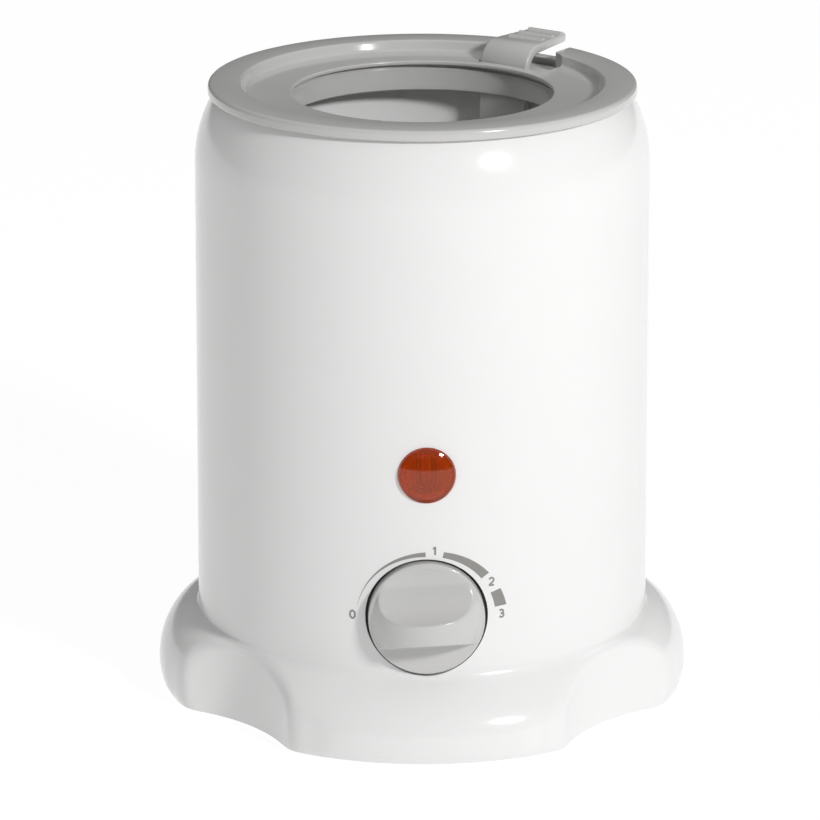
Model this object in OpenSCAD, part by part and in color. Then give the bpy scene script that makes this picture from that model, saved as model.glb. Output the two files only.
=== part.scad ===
// Bottle warmer: a white moulded body with a lobed skirt, a grey collar and lifter round a water well,
// and a heater, thermostat and lamp below and in front of the well.
// Millimetres, +Z up, front towards -Y. The origin is on the body's axis, on the surface it stands on.

/* [Body] */
// Outer radius of the body wall where the skirt begins
body_r = 60.6; // [57:0.1:66]
// Radius lost between the skirt and the shoulder
body_draft = 0.6; // [0:0.1:1.5]
// Height of the shell, from its lower edge to its top edge
body_h = 162.2; // [150:0.1:180]
// Thickness of the shell's wall
wall = 2.5; // [2:0.1:3]
// Radius of the shoulder's curve
shoulder_r = 34; // [28:0.5:45]
// Height of the shoulder
shoulder_h = 18.2; // [14:0.1:20]
// Height of the rubber feet below the shell's lower edge
foot_proud = 0.6; // [0.3:0.1:2]

/* [Skirt] */
// How far the lobes reach past the body
skirt_reach = 10.8; // [9:0.1:14]
// Height of the crease between skirt and body, above the shell's lower edge
skirt_h = 21.5; // [19:0.1:24]
// Height of the skirt's widest line, above the shell's lower edge
skirt_widest = 6; // [4:0.1:9]
// Radius lost between the widest line and the lower edge
skirt_tuck = 1.2; // [0.5:0.1:2]
// How far the skirt stands out at an indent's deepest point
indent_reach = 1.2; // [0.9:0.1:3]
// Radius of an indent's hollow
indent_round = 48; // [40:1:60]
// Radius of a lobe's corner in plan
lobe_round = 9; // [6:0.5:11]
// Angle of an indent from the front or the back
indent_angle = 48.5; // [45:0.5:51]

/* [Collar] */
// How far the collar's edge reaches past the shell's top edge
collar_overhang = 1.7; // [1:0.1:3]
// Width of the collar's rim, with its sloped inner wall
rim_w = 9.7; // [8:0.1:10.5]
// Slope of the rim's inner wall, across
rim_slope = 1; // [0.6:0.1:2.5]
// Depth of the sunk face below the rim
rim_step = 2.8; // [2:0.1:3.5]
// Thickness of the sunk face
collar_t = 2.2; // [2:0.1:3]
// Open seam between the collar's edge and the shell
seam = 0.3; // [0.2:0.05:0.6]
// How far the inner skirt steps back from the opening
lip = 1.3; // [1:0.1:1.8]
// Radius of the rounding on the opening's upper edge
lip_round = 1; // [0.5:0.1:1.4]
// Thickness of the inner skirt
band_t = 1; // [0.8:0.1:1.2]
// Height of the inner skirt below the sunk face
band_h = 6.1; // [4:0.1:9]
// Angle of the lifter and its notch, from the back towards the right
lifter_angle = 36.5; // [25:0.5:60]
// Room beside the strap at the notch's narrow end
notch_gap = 0.4; // [0.3:0.1:1.5]

/* [Lifter] */
// Width of the strap
strap_w = 15.2; // [12:0.1:16]
// Thickness of the strap
strap_t = 2.4; // [1.8:0.1:3]
// Width of the tab at its tip
tip_w = 11.6; // [9:0.1:12]
// How far the tab's tip reaches past the collar's edge
tip_overhang = 3.6; // [0:0.1:7]
// Height of the tab's top above the collar's rim
tab_rise = 2.5; // [2.2:0.1:6]
// Outer radius of the bend between strap and tab
bend_r = 7; // [5:0.1:9]
// Number of grip ridges on the tab
ridges = 3; // [1:1:4]
// Distance between ridges
ridge_pitch = 4.6; // [3:0.1:5]
// Height of a ridge
ridge_h = 0.5; // [0.2:0.1:0.8]
// Room round the platform where it passes the collar's opening
platform_gap = 1; // [0.5:0.1:4]
// Thickness of the platform
platform_t = 2; // [1.5:0.1:3]
// Height of the pegs under the platform
peg_h = 2.5; // [1.5:0.1:4]

/* [Well and heater] */
// Room between the well's lower flange and the shell's wall
flange_room = 3.6; // [3:0.1:6]
// Room between the strap and the wall of the water well
well_gap = 4.5; // [4:0.1:6]
// Thickness of the well's wall
well_wall = 2; // [1.6:0.1:2.4]
// Thickness of the well's upper flange
well_flange_t = 2; // [1.5:0.1:3]
// Thickness of the shell's ledge under that flange
ledge_t = 2.5; // [2:0.1:3]
// Height of the heater plate's upper face
floor_z = 55; // [54:0.5:58]
// Thickness of the gasket
gasket_t = 1; // [0.6:0.1:1.5]
// Thickness of the heater plate
plate_t = 2.5; // [2:0.1:3]
// Height of the well's lower flange
low_flange_h = 6; // [5.5:0.1:8]
// Width of the well's lower flange
low_flange_w = 8.5; // [8:0.1:9]
// Room between the heating element and the heat bridge
element_gap = 0.8; // [0.5:0.1:4]
// Radius of the heating element's tube
element_r = 3; // [2.5:0.1:3.2]
// Part of a turn that the heating element makes
element_turn = 300; // [270:5:310]

/* [Knob and thermostat] */
// Height of the knob's axis
knob_z = 37.6; // [35:0.1:40]
// Radius of the knob
knob_r = 15.1; // [14.5:0.1:17]
// Thickness of the knob's disc
knob_disc_t = 4.3; // [3.5:0.1:5]
// How far the disc stands proud of the body's front line
disc_proud = 1.4; // [0.8:0.1:2]
// Step between the knob's edge and its dome
dome_step = 0.4; // [0.3:0.1:1]
// Height of the knob's dome above its disc
dome_h = 9; // [8:0.1:10]
// Radius of the knob's dome
dome_r = 15.6; // [15:0.1:17]
// Radius of the finger scoop
scoop_r = 9; // [8.5:0.1:10]
// Distance of the grip's step below the knob's axis
step_drop = 7.5; // [6.5:0.1:8.5]
// Lean of the step's wall
step_lean = 20; // [15:1:25]
// Turn of the grip when the dial is at zero
knob_rest = 3; // [0:1:10]
// Radius of the thermostat's shaft
shaft_r = 2.5; // [2:0.1:2.8]
// Width of the thermostat's block
thermostat_w = 26; // [22:0.5:30]
// Depth of the thermostat's block
thermostat_d = 16; // [14:0.5:20]
// Height of the thermostat's block
thermostat_h = 18; // [16:0.5:19]

/* [Lamp] */
// Height of the lamp's centre above the well's lower flange
lamp_rise = 14.2; // [12:0.1:30]
// Radius of the lens
lens_r = 7.4; // [7:0.1:8]
// How far the lens stands proud of the body's front line
lens_proud = 2.6; // [1.5:0.1:4]
// Height of the lens's crown
lens_crown = 2.2; // [1.2:0.1:3]
// Thickness of the lens's wall
lens_wall = 1.2; // [1:0.1:1.5]
// Radius of the glow lamp
bulb_r = 2.6; // [2:0.1:2.8]
// Length of the glow lamp
bulb_h = 11.5; // [10:0.1:12]

/* [Base] */
// Thickness of the base plate
base_t = 2.5; // [2:0.1:3]
// Height of the base plate above the shell's lower edge
base_lift = 0.8; // [0.4:0.1:1.5]
// Radius of the rubber feet
foot_r = 6; // [4:0.1:6.5]
// Room between a foot and the skirt's lower edge
foot_margin = 1.7; // [0.5:0.1:3]
// Room between a base screw's post and the shell's wall
post_margin = 2; // [1:0.1:4]
// Radius of a base screw's post
post_r = 3.6; // [3.4:0.1:4]
// Height of a base screw's post
post_h = 14; // [10:0.5:16]
// Height of the cord gland's axis
gland_z = 32; // [30:0.5:60]
// Radius of the cord's hole
gland_bore_r = 3.4; // [2.5:0.1:4]

/* [Fits] */
// Room between pieces that slide past each other
slide_gap = 0.3; // [0.2:0.05:0.5]
// Room round a turning shaft
shaft_gap = 0.05; // [0.02:0.01:0.1]
// Room between fixed pieces
fit_gap = 0.1; // [0.05:0.05:0.2]
// Radius of the screws' shanks
screw_r = 1.5; // [1.2:0.1:1.6]
// Radius of the screws' heads
screw_head_r = 2.8; // [2.4:0.1:3]
// Height of the screws' heads
screw_head_h = 1.8; // [1.2:0.1:2]
// Radius of the inner wires
wire_r = 1; // [0.8:0.1:1.1]

/* [Hidden] */
$fn = 96;

// Colours as they look on the real object
white = [0.93, 0.93, 0.92];
grey = [0.66, 0.66, 0.65];
amber = [0.8, 0.25, 0.05];
black = [0.1, 0.1, 0.1];
steel = [0.75, 0.75, 0.77];
metal = [0.82, 0.83, 0.85];
brass = [0.8, 0.65, 0.3];
ceramic = [0.88, 0.86, 0.8];

// Rings from the body's wall inwards: lower flange, well, strap, inner skirt, the bottle's opening
over = 1;
arc_steps = 14;
edge_margin = 0.4;
low_flange_r = body_r - wall - flange_room;
well_out_r = low_flange_r - low_flange_w;
well_r = well_out_r - well_wall;
strap_r = well_r - well_gap - strap_t;
band_out_r = strap_r - slide_gap;
band_r = band_out_r - band_t;
hole_r = band_r - lip;

// Rings from the body's wall outwards
neck_r = body_r - body_draft;
skirt_r = body_r + skirt_reach;
indent_r = body_r + indent_reach;
// The plan reaches a little past the skirt, so that the bulge alone shapes the lobes
plan_margin = 0.2;
plan_r = skirt_r + plan_margin;

// Heights of the shell
shell_z = foot_proud;
top_z = shell_z + body_h;
shoulder_z = top_z - shoulder_h;
crease_z = shell_z + skirt_h;
widest_z = shell_z + skirt_widest;

// Collar and well, from the shell's top edge down
seat_drop = 2;
seat_z = top_z - seat_drop;
ledge_z = seat_z - well_flange_t;
sunk_z = seat_z + collar_t;
rim_z = sunk_z + rim_step;
edge_z = top_z + seam;
edge_round = rim_z - edge_z;
mouth_r = shoulder_out(top_z) - wall;
collar_r = mouth_r + wall + collar_overhang;
sunk_r = collar_r - rim_w;
flange_inset = 2;
flange_r = shoulder_out(seat_z) - wall - 2 * fit_gap - flange_inset;
band_z = seat_z - band_h;
spigot_t = 1.2;
spigot_h = 4;

// Lifter
slot_r = well_r - slide_gap;
tip_r = collar_r + tip_overhang;
platform_r = hole_r - platform_gap;
tab_z = rim_z + tab_rise;
platform_z = floor_z + slide_gap + peg_h;
ridge_r = 0.8;
notch_left = strap_w / 2 + notch_gap;
notch_right = notch_left + 2.1;
pocket_right = notch_right + 4;
pocket_r = sunk_r - 2;
notch_low = seat_z - spigot_h - over;
notch_h = rim_z - notch_low + 2 * over;

// Heater
plate_z = floor_z - plate_t;
low_flange_z = floor_z + gasket_t;
heater_screw_ring = low_flange_r - screw_head_r - edge_margin;
heater_screw_count = 6;
heater_screw_angle = 30;
gasket_out_r = heater_screw_ring - screw_r - 2 * edge_margin;
element_z = plate_z - element_r;
element_open = (360 - element_turn) / 2;
pin_r = 1.2;
pin_l = 7;

// Front of the body at the knob and the lamp: distance from the axis
knob_front = wall_out(knob_z) + disc_proud;
knob_back = knob_front - knob_disc_t;
spot_face = knob_back - slide_gap;
knob_gap = 0.8;
spot_r = knob_r + knob_gap;
pad_back = spot_face - wall;
pad_r = spot_r + wall;
bushing_wall = 2.2;
bushing_r = shaft_r + bushing_wall;
nut_w = 2.4;
bushing_sunk = 3;
nut_r = bushing_r + nut_w;
nut_t = 1.9;
nut_room = 0.8;
nut_room_r = nut_r + nut_room;
dome_up = 0.5;
dome_edge_r = knob_r - dome_step;
scoop_rise = 0.1;
scoop_inset = 4.4;
scoop_up = knob_r - scoop_inset;
ledge_sunk = 0.2;
ledge_front = knob_front - ledge_sunk;
nose_front = knob_front + dome_h;
shaft_reach = 2.5;
shaft_spare = 5;
shaft_tip = knob_front + shaft_reach;
shaft_end = pad_back - thermostat_d + shaft_spare;

// Lamp
lamp_z = low_flange_z + low_flange_h + lamp_rise;
lamp_front = wall_out(lamp_z);
lens_edge = lamp_front + lens_proud - lens_crown;
lens_sink = 1;
lens_seat = lamp_front - wall - lens_sink;
lens_flange_w = 1.8;
lens_flange_r = lens_r + lens_flange_w;
lens_flange_t = 1.2;
crown_r = (lens_r * lens_r + lens_crown * lens_crown) / (2 * lens_crown);
holder_front = lens_seat - lens_flange_t;
holder_gap = 1.6;
holder_back = well_out_r + holder_gap;
holder_r = lens_flange_r;
holder_wall = 1.2;
ear_r = 3;
ear_x = holder_r + ear_r;
ear_t = 2;
bulb_gap = 0.6;
bulb_front = holder_back + holder_wall + bulb_r + bulb_gap;
bulb_wall = 0.5;
electrode_r = 0.35;
electrode_x = 0.9;
lead_proud = 2.5;
lead_end_z = lamp_z - holder_r - lead_proud;

// Base
base_z = shell_z + base_lift;
base_top = base_z + base_t;
base_inset = wall + plan_margin + 2 * fit_gap;
foot_peg_r = 2;
foot_ring_r = skirt_r - skirt_tuck - wall - foot_r - foot_margin;
post_ring_r = body_r - wall - post_r - post_margin;
head_sunk = screw_head_h - 0.6;
foot_angles = [0, 90, 180, 270];
indent_angles = [indent_angle, 180 - indent_angle, 180 + indent_angle, 360 - indent_angle];
post_angles = indent_angles;

// Terminal block, fuse and bridge
block_w = 30;
block_d = 12;
block_h = 12;
block_y = 26;
block_ways = 3;
block_pitch = 9;
fuse_r = 2;
fuse_l = 12;
fuse_x = -8;
fuse_y = 12;
fuse_lead_r = 0.6;
fuse_lead_l = 2.5;
clip_t = 1;
clip_w = 6;
clip_reach = 10;
clip_z = plate_z - 2 * fuse_r - fit_gap;
bridge_t = 1.5;
bridge_w = 12;
bridge_foot = 5.5;
bridge_y = -(pad_back - thermostat_d);
element_loop_r = -bridge_y - bridge_foot - element_gap - element_r;
tab_w = 4;
tab_t = 0.8;
tab_l = 8;
tab_x = thermostat_w / 2 - 3;

// Ends of the inner wires
tab_end = -(pad_back - thermostat_d - tab_l) + 2 * fit_gap;
block_front = block_y - block_d / 2 - fit_gap;
way_z = base_top + block_h / 2;
lead_r = (low_flange_r + body_r - wall) / 2;
block_screw_sunk = 3;

// Cord gland
gland_wall = 1.8;
gland_neck_r = gland_bore_r + gland_wall;
gland_flange_w = 2;
gland_flange_r = gland_neck_r + gland_flange_w;
gland_flange_t = 2;
gland_spare = 1;

// Distance from the axis to the shoulder's outer face at a height
function shoulder_out(z) =
    neck_r - shoulder_r + sqrt(shoulder_r * shoulder_r - pow(max(z - shoulder_z, 0), 2));

// Distance from the axis to the body's outer face at a height below the shoulder
function wall_out(z) = body_r - body_draft * (z - crease_z) / (shoulder_z - crease_z);

// Points along an arc in the plane, between two angles
function arc(centre, r, from, to, steps = arc_steps) =
    [for (i = [0:steps]) let (a = from + (to - from) * i / steps) centre + r * [cos(a), sin(a)]];

// Outer profile of the body, or of a layer inside it
function body_profile(inset) =
    let(
        centre = [neck_r - shoulder_r, shoulder_z],
        r = shoulder_r - inset,
        turn = asin(shoulder_h / r)
    )
    concat(
        [[0, shell_z - (inset > 0 ? over : 0)], [body_r - inset, shell_z - (inset > 0 ? over : 0)],
         [body_r - inset, crease_z]],
        arc(centre, r, 0, turn),
        [[0, top_z]]
    );

// Profile of the skirt's bulge, or of a layer inside it
function skirt_profile(inset) =
    let(
        low = shell_z - (inset > 0 ? over : 0),
        inner = body_r - 2 * wall,
        a = skirt_r - body_r,
        b = crease_z - widest_z - inset
    )
    concat(
        [[inner, low], [skirt_r - skirt_tuck - inset, low]],
        [for (i = [0:arc_steps]) let(t = 90 * i / arc_steps)
            [body_r - inset + a * cos(t), widest_z + b * sin(t)]],
        [[inner, crease_z - inset]]
    );

// Angle between an indent's middle and the centre of a lobe's rounded corner
function corner_turn() =
    let(a = plan_r - lobe_round, b = indent_round + lobe_round, d = indent_r + indent_round)
    acos((a * a + d * d - b * b) / (2 * a * d));

// Outline of the skirt in plan: four lobes, each rounded into the hollows beside it
function direction(v) = atan2(v[1], v[0]);
function on_circle(r, angle) = r * [cos(angle), sin(angle)];
function lobed_outline(inset) =
    let(
        turn = corner_turn(),
        r = plan_r - lobe_round,
        n = len(indent_angles)
    )
    [for (i = [0:n - 1])
        let(
            middle = indent_angles[i] - 90,
            next = (i == n - 1 ? indent_angles[0] + 360 : indent_angles[i + 1]) - 90,
            hollow = on_circle(indent_r + indent_round, middle),
            first = on_circle(r, middle - turn),
            second = on_circle(r, middle + turn),
            swing = direction(hollow - first)
                + (direction(hollow - first) < middle - turn - 1 ? 360 : 0),
            swing_back = 2 * middle - swing
        )
        each concat(
            arc(first, lobe_round - inset, middle - turn, swing),
            arc(hollow, indent_round + inset, swing + 180, swing_back + 180),
            arc(second, lobe_round - inset, swing_back, middle + turn),
            arc([0, 0], plan_r - inset, middle + turn, next - turn)
        )
    ];

module lobed_plan(inset) {
    polygon(lobed_outline(inset));
}

// Skirt as a solid, or a layer inside it
module skirt(inset) {
    intersection() {
        rotate_extrude() polygon(skirt_profile(inset));
        translate([0, 0, shell_z - 2 * over]) linear_extrude(skirt_h + 3 * over) lobed_plan(inset);
    }
}

// Puts a shape that is drawn upright on the front, with its axis pointing out
module front(z) {
    translate([0, 0, z]) rotate([90, 0, 0]) children();
}

// Puts a shape that is drawn upright on the back, with its axis pointing out
module back(z) {
    translate([0, 0, z]) rotate([-90, 0, 0]) children();
}

// Flat ring between two radii and two heights
module flat_ring(inner, outer, low, high) {
    rotate_extrude() translate([inner, low]) square([outer - inner, high - low]);
}

// Round bar between two heights
module bar(r, low, high) {
    translate([0, 0, low]) cylinder(r = r, h = high - low);
}

// Pan-head screw with its head below the origin and its shank above
module screw(length) {
    slot_w = 0.8;
    slot_h = 0.7;
    difference() {
        union() {
            bar(screw_head_r, -screw_head_h, 0);
            bar(screw_r, -over / 2, length);
        }
        translate([-screw_head_r - over, -slot_w / 2, -screw_head_h - over])
            cube([2 * (screw_head_r + over), slot_w, over + slot_h]);
    }
}

// Tube swept along points, eight sides
function unit(v) = v / norm(v);
function tangent(path, i) = unit(path[min(i + 1, len(path) - 1)] - path[max(i - 1, 0)]);
module wire(path) {
    sides = 8;
    reference = unit([0.3, 1, 0.2]);
    points = [
        for (i = [0:len(path) - 1])
            let(t = tangent(path, i), u = unit(cross(t, reference)), v = cross(t, u))
            for (k = [0:sides - 1])
                path[i] + wire_r * (u * cos(360 * k / sides) + v * sin(360 * k / sides))
    ];
    last = (len(path) - 1) * sides;
    walls = [
        for (i = [0:len(path) - 2], k = [0:sides - 1])
            let(a = i * sides + k, b = i * sides + (k + 1) % sides)
            each [[a, b, b + sides], [a, b + sides, a + sides]]
    ];
    polyhedron(
        points = points,
        faces = concat(
            [[for (k = [sides - 1:-1:0]) k]],
            walls,
            [[for (k = [0:sides - 1]) last + k]]
        ),
        convexity = 8
    );
}

// Smooth path through hand-set points
function between(a, b, c, d, t) =
    0.5 * (2 * b + (c - a) * t + (2 * a - 5 * b + 4 * c - d) * t * t + (3 * b - a - 3 * c + d) * t * t * t);
function smooth(points, steps = 5) =
    let(n = len(points))
    concat(
        [for (i = [0:n - 2], s = [0:steps - 1])
            between(points[max(i - 1, 0)], points[i], points[i + 1], points[min(i + 2, n - 1)], s / steps)],
        [points[n - 1]]
    );

// Tip of a heating element's pin, at the right or the left
function pin_tip(side) = let(
        along = [-cos(element_open), sin(element_open)],
        end = element_loop_r * [sin(element_open), cos(element_open)] + (pin_l + slide_gap) * along
    )
    [side[0] * end[0], side[1] * end[1], element_z];

// Point given by its angle from the front towards the right, its distance from the axis and its height
function spot(angle, r, z) = [r * sin(angle), -r * cos(angle), z];

module outer_shell() color(white) {
    difference() {
        union() {
            difference() {
                union() {
                    rotate_extrude() polygon(body_profile(0));
                    skirt(0);
                }
                rotate_extrude() polygon(body_profile(wall));
                skirt(wall);
                bar(mouth_r, top_z - over, top_z + over);
            }
            flat_ring(well_out_r + slide_gap, shoulder_out(ledge_z) - wall / 2, ledge_z - ledge_t, ledge_z);
            intersection() {
                rotate_extrude() polygon(body_profile(wall / 2));
                union() {
                    difference() {
                        front(knob_z) bar(pad_r, pad_back, body_r);
                        bar(low_flange_r + slide_gap, plate_z - slide_gap, top_z);
                    }
                    front(lamp_z) bar(lens_flange_r + over, lens_seat, body_r);
                    for (side = [-1, 1])
                        front(lamp_z) translate([side * ear_x, 0, 0]) bar(ear_r, holder_front, body_r);
                    for (angle = post_angles) {
                        rotate(angle) translate([0, -post_ring_r, 0])
                            bar(post_r, base_top, base_top + post_h);
                        rotate(angle) translate([-wall / 2, -body_r, base_top])
                            cube([wall, body_r - post_ring_r, post_h]);
                    }
                }
            }
        }
        front(knob_z) bar(spot_r, spot_face, skirt_r);
        front(knob_z) bar(bushing_r + fit_gap, 0, skirt_r);
        front(lamp_z) bar(lens_r + fit_gap, 0, skirt_r);
        for (side = [-1, 1])
            front(lamp_z) translate([side * ear_x, 0, 0]) bar(screw_r + fit_gap, 0, lens_seat + over);
        for (angle = post_angles)
            rotate(angle) translate([0, -post_ring_r, 0])
                bar(screw_r + fit_gap, 0, base_top + post_h - 2);
        back(gland_z) bar(gland_neck_r + fit_gap, 0, skirt_r);
    }
}

module base_plate() color(white) {
    vent_r = 2;
    vent_ring = 22;
    vents = 10;
    difference() {
        intersection() {
            translate([0, 0, base_z]) linear_extrude(base_t) lobed_plan(base_inset);
            bar(skirt_r - skirt_tuck - wall - 2 * fit_gap, 0, base_top + over);
        }
        for (angle = foot_angles)
            rotate(angle) translate([0, -foot_ring_r, 0]) bar(foot_peg_r + fit_gap, 0, base_top + over);
        for (angle = post_angles) rotate(angle) translate([0, -post_ring_r, 0]) {
            bar(screw_r + fit_gap, 0, base_top + over);
            bar(screw_head_r + slide_gap, 0, base_z + head_sunk);
        }
        for (i = [0:vents - 1]) rotate(360 * i / vents) translate([0, vent_ring, 0])
            bar(vent_r, 0, base_top + over);
    }
}

module rubber_feet() color(black) {
    for (angle = foot_angles) rotate(angle) translate([0, -foot_ring_r, 0]) {
        bar(foot_r, 0, base_z);
        bar(foot_peg_r, base_z - 0.5, base_top + 0.5);
    }
}

module base_screws() color(steel) {
    for (angle = post_angles) rotate(angle) translate([0, -post_ring_r, base_z + head_sunk])
        screw(post_h - 2);
}

module water_well() color(white) {
    difference() {
        union() {
            flat_ring(well_r, well_out_r, low_flange_z, seat_z);
            flat_ring(well_r, flange_r, ledge_z, seat_z);
            flat_ring(well_r, low_flange_r, low_flange_z, low_flange_z + low_flange_h);
        }
        heater_screw_places() bar(screw_r + fit_gap, 0, low_flange_z + low_flange_h - over);
    }
}

// Places of the screws that hold the heater plate
module heater_screw_places() {
    for (i = [0:heater_screw_count - 1])
        rotate(heater_screw_angle + 360 * i / heater_screw_count)
            translate([0, heater_screw_ring, 0]) children();
}

module well_gasket() color(black) {
    flat_ring(well_r + 0.6, gasket_out_r, floor_z, low_flange_z);
}

module heater_plate() color(metal) {
    difference() {
        bar(low_flange_r, plate_z, floor_z);
        heater_screw_places() bar(screw_r + fit_gap, 0, floor_z + over);
        translate([fuse_x + clip_reach, fuse_y, 0]) bar(screw_r + fit_gap, 0, floor_z - over / 2);
    }
}

module heater_screws() color(steel) {
    heater_screw_places() translate([0, 0, plate_z]) screw(plate_t + gasket_t + low_flange_h - 2 * over);
}

module heating_element() color(steel) {
    translate([0, 0, element_z]) {
        rotate([0, 0, 90 + element_open]) rotate_extrude(angle = element_turn)
            translate([element_loop_r, 0]) circle(r = element_r);
        for (side = [-1, 1]) rotate(side * element_open) translate([0, element_loop_r, 0])
            rotate([0, side * 90, 0]) bar(pin_r, -over, pin_l);
    }
}

module thermal_fuse() color(metal) {
    translate([fuse_x, fuse_y, plate_z - fuse_r]) rotate([90, 0, 0]) {
        bar(fuse_r, -fuse_l / 2, fuse_l / 2);
        bar(fuse_lead_r, -fuse_l / 2 - fuse_lead_l, fuse_l / 2 + fuse_lead_l);
    }
}

module fuse_clip() color(steel) {
    difference() {
        translate([fuse_x - clip_w / 2, fuse_y - clip_w / 2, 0]) {
            translate([0, 0, clip_z - clip_t]) cube([clip_reach + clip_w, clip_w, clip_t]);
            translate([clip_reach, 0, clip_z - clip_t]) cube([clip_w, clip_w, plate_z - clip_z + clip_t]);
        }
        translate([fuse_x + clip_reach, fuse_y, 0]) bar(screw_r + fit_gap, 0, floor_z);
    }
}

module fuse_screw() color(steel) {
    translate([fuse_x + clip_reach, fuse_y, clip_z - clip_t])
        screw(plate_z - clip_z + clip_t + plate_t - over);
}

module heat_bridge() color(metal) {
    low = knob_z - thermostat_h / 2;
    translate([-bridge_w / 2, bridge_y, low]) cube([bridge_w, bridge_t, plate_z - low]);
    translate([-bridge_w / 2, bridge_y, plate_z - bridge_t]) cube([bridge_w, bridge_foot, bridge_t]);
}

module thermostat_body() color(ceramic) {
    difference() {
        front(knob_z) translate([-thermostat_w / 2, -thermostat_h / 2, pad_back - thermostat_d])
            cube([thermostat_w, thermostat_h, thermostat_d]);
        front(knob_z) bar(shaft_r + shaft_gap, shaft_end - slide_gap, pad_back + over);
        front(knob_z) bar(bushing_r + fit_gap, pad_back - bushing_sunk, pad_back + over);
    }
}

module thermostat_bushing() color(brass) {
    difference() {
        front(knob_z) bar(bushing_r, pad_back - bushing_sunk, spot_face + nut_t + nut_room / 2);
        front(knob_z) bar(shaft_r + shaft_gap, 0, skirt_r);
    }
}

module thermostat_nut() color(steel) {
    front(knob_z) difference() {
        translate([0, 0, spot_face]) cylinder(r = nut_r, h = nut_t, $fn = 6);
        bar(bushing_r + fit_gap, 0, skirt_r);
    }
}

module thermostat_tabs() color(brass) {
    for (side = [-1, 1])
        front(knob_z) translate([side * tab_x - tab_w / 2, -tab_t / 2, pad_back - thermostat_d - tab_l])
            cube([tab_w, tab_t, tab_l]);
}

module lamp_lens() color(amber) {
    front(lamp_z) rotate_extrude() polygon(concat(
        [[lens_r - lens_wall, holder_front], [lens_flange_r, holder_front],
         [lens_flange_r, lens_seat], [lens_r, lens_seat]],
        arc([0, lens_edge + lens_crown - crown_r], crown_r, 90 - asin(lens_r / crown_r), 90),
        [[0, lens_edge + lens_crown - lens_wall],
         [lens_r - lens_wall, lens_edge - lens_wall / 2]]
    ));
}

module lamp_holder() color(white) {
    front(lamp_z) difference() {
        union() {
            bar(holder_r, holder_back, holder_front);
            translate([-ear_x - ear_r, -ear_r, holder_front - ear_t])
                cube([2 * (ear_x + ear_r), 2 * ear_r, ear_t]);
        }
        bar(holder_r - holder_wall, holder_back + holder_wall, holder_front + over);
        for (side = [-1, 1]) {
            translate([side * ear_x, 0, 0]) bar(screw_r + fit_gap, 0, holder_front + over);
            translate([side * electrode_x, 0, bulb_front]) rotate([90, 0, 0])
                bar(electrode_r + fit_gap, 0, 2 * holder_r);
        }
    }
}

module lamp_screws() color(steel) {
    for (side = [-1, 1])
        front(lamp_z) translate([side * ear_x, 0, holder_front - ear_t]) screw(ear_t + lens_flange_t + over);
}

module glow_lamp() color([0.9, 0.75, 0.6]) {
    half = bulb_h / 2;
    translate([0, -bulb_front, lamp_z]) difference() {
        rotate_extrude() polygon(concat(
            [[0, -half], [bulb_r, -half]],
            arc([0, half - bulb_r], bulb_r, 0, 90),
            [[0, half - bulb_wall]],
            arc([0, half - bulb_r], bulb_r - bulb_wall, 90, 0),
            [[bulb_r - bulb_wall, -half + 2 * bulb_wall], [0, -half + 2 * bulb_wall]]
        ));
        for (side = [-1, 1])
            translate([side * electrode_x, 0, 0])
                bar(electrode_r + fit_gap, -half - over, -half + 3 * bulb_wall);
    }
}

module lamp_electrodes() color(steel) {
    for (side = [-1, 1]) translate([side * electrode_x, -bulb_front, 0])
        bar(electrode_r, lead_end_z, lamp_z + bulb_h / 2 - bulb_r);
}

module terminal_block() color(ceramic) {
    difference() {
        translate([-block_w / 2, block_y - block_d / 2, base_top]) cube([block_w, block_d, block_h]);
        for (i = [0:block_ways - 1]) translate([(i - (block_ways - 1) / 2) * block_pitch, block_y, 0]) {
            bar(screw_head_r, base_top + block_h - block_screw_sunk, base_top + block_h + over);
            bar(screw_r, base_top + block_screw_sunk, base_top + block_h + over);
            translate([0, 0, base_top + block_h / 2]) rotate([90, 0, 0])
                bar(wire_r + fit_gap, -block_d, block_d);
        }
    }
}

module terminal_screws() color(brass) {
    for (i = [0:block_ways - 1])
        translate([(i - (block_ways - 1) / 2) * block_pitch, block_y, base_top + block_h - block_screw_sunk])
            rotate([180, 0, 0]) screw(block_h / 2 - block_screw_sunk - wire_r - fit_gap);
}

module cord_gland() color(black) {
    inner = wall_out(gland_z) - wall - gland_flange_t - gland_spare;
    outer = wall_out(gland_z) + fit_gap;
    back(gland_z) difference() {
        union() {
            bar(gland_neck_r, inner, outer);
            bar(gland_flange_r, outer, outer + gland_flange_t);
            bar(gland_flange_r, inner, inner + gland_flange_t);
        }
        bar(gland_bore_r, 0, skirt_r);
    }
}

module collar_ring() color(grey) {
    sunk_edge = [sunk_r, sunk_z];
    difference() {
        rotate_extrude() polygon(concat(
            [[mouth_r - slide_gap, seat_z], [mouth_r - slide_gap, edge_z]],
            arc([collar_r - edge_round, edge_z], edge_round, 0, 90),
            [[sunk_r + rim_slope, rim_z], sunk_edge],
            arc([hole_r + lip_round, sunk_z - lip_round], lip_round, 90, 180),
            [[hole_r, seat_z], [band_r, seat_z], [band_r, band_z], [band_out_r, band_z], [band_out_r, seat_z],
             [slot_r - spigot_t, seat_z], [slot_r - spigot_t, seat_z - spigot_h],
             [slot_r, seat_z - spigot_h], [slot_r, seat_z]]
        ));
        intersection() {
            rotate_extrude() polygon([
                [strap_r - slide_gap / 2, notch_low], [collar_r + over, notch_low],
                [collar_r + over, rim_z + over], [strap_r - slide_gap / 2, rim_z + over]
            ]);
            rotate(90 - lifter_angle) union() {
                translate([0, -notch_right, notch_low - over])
                cube([collar_r + 2 * over, notch_right + notch_left, notch_h]);
                translate([0, -pocket_right, notch_low - over])
                cube([pocket_r, pocket_right, notch_h]);
            }
        }
    }
}

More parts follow.
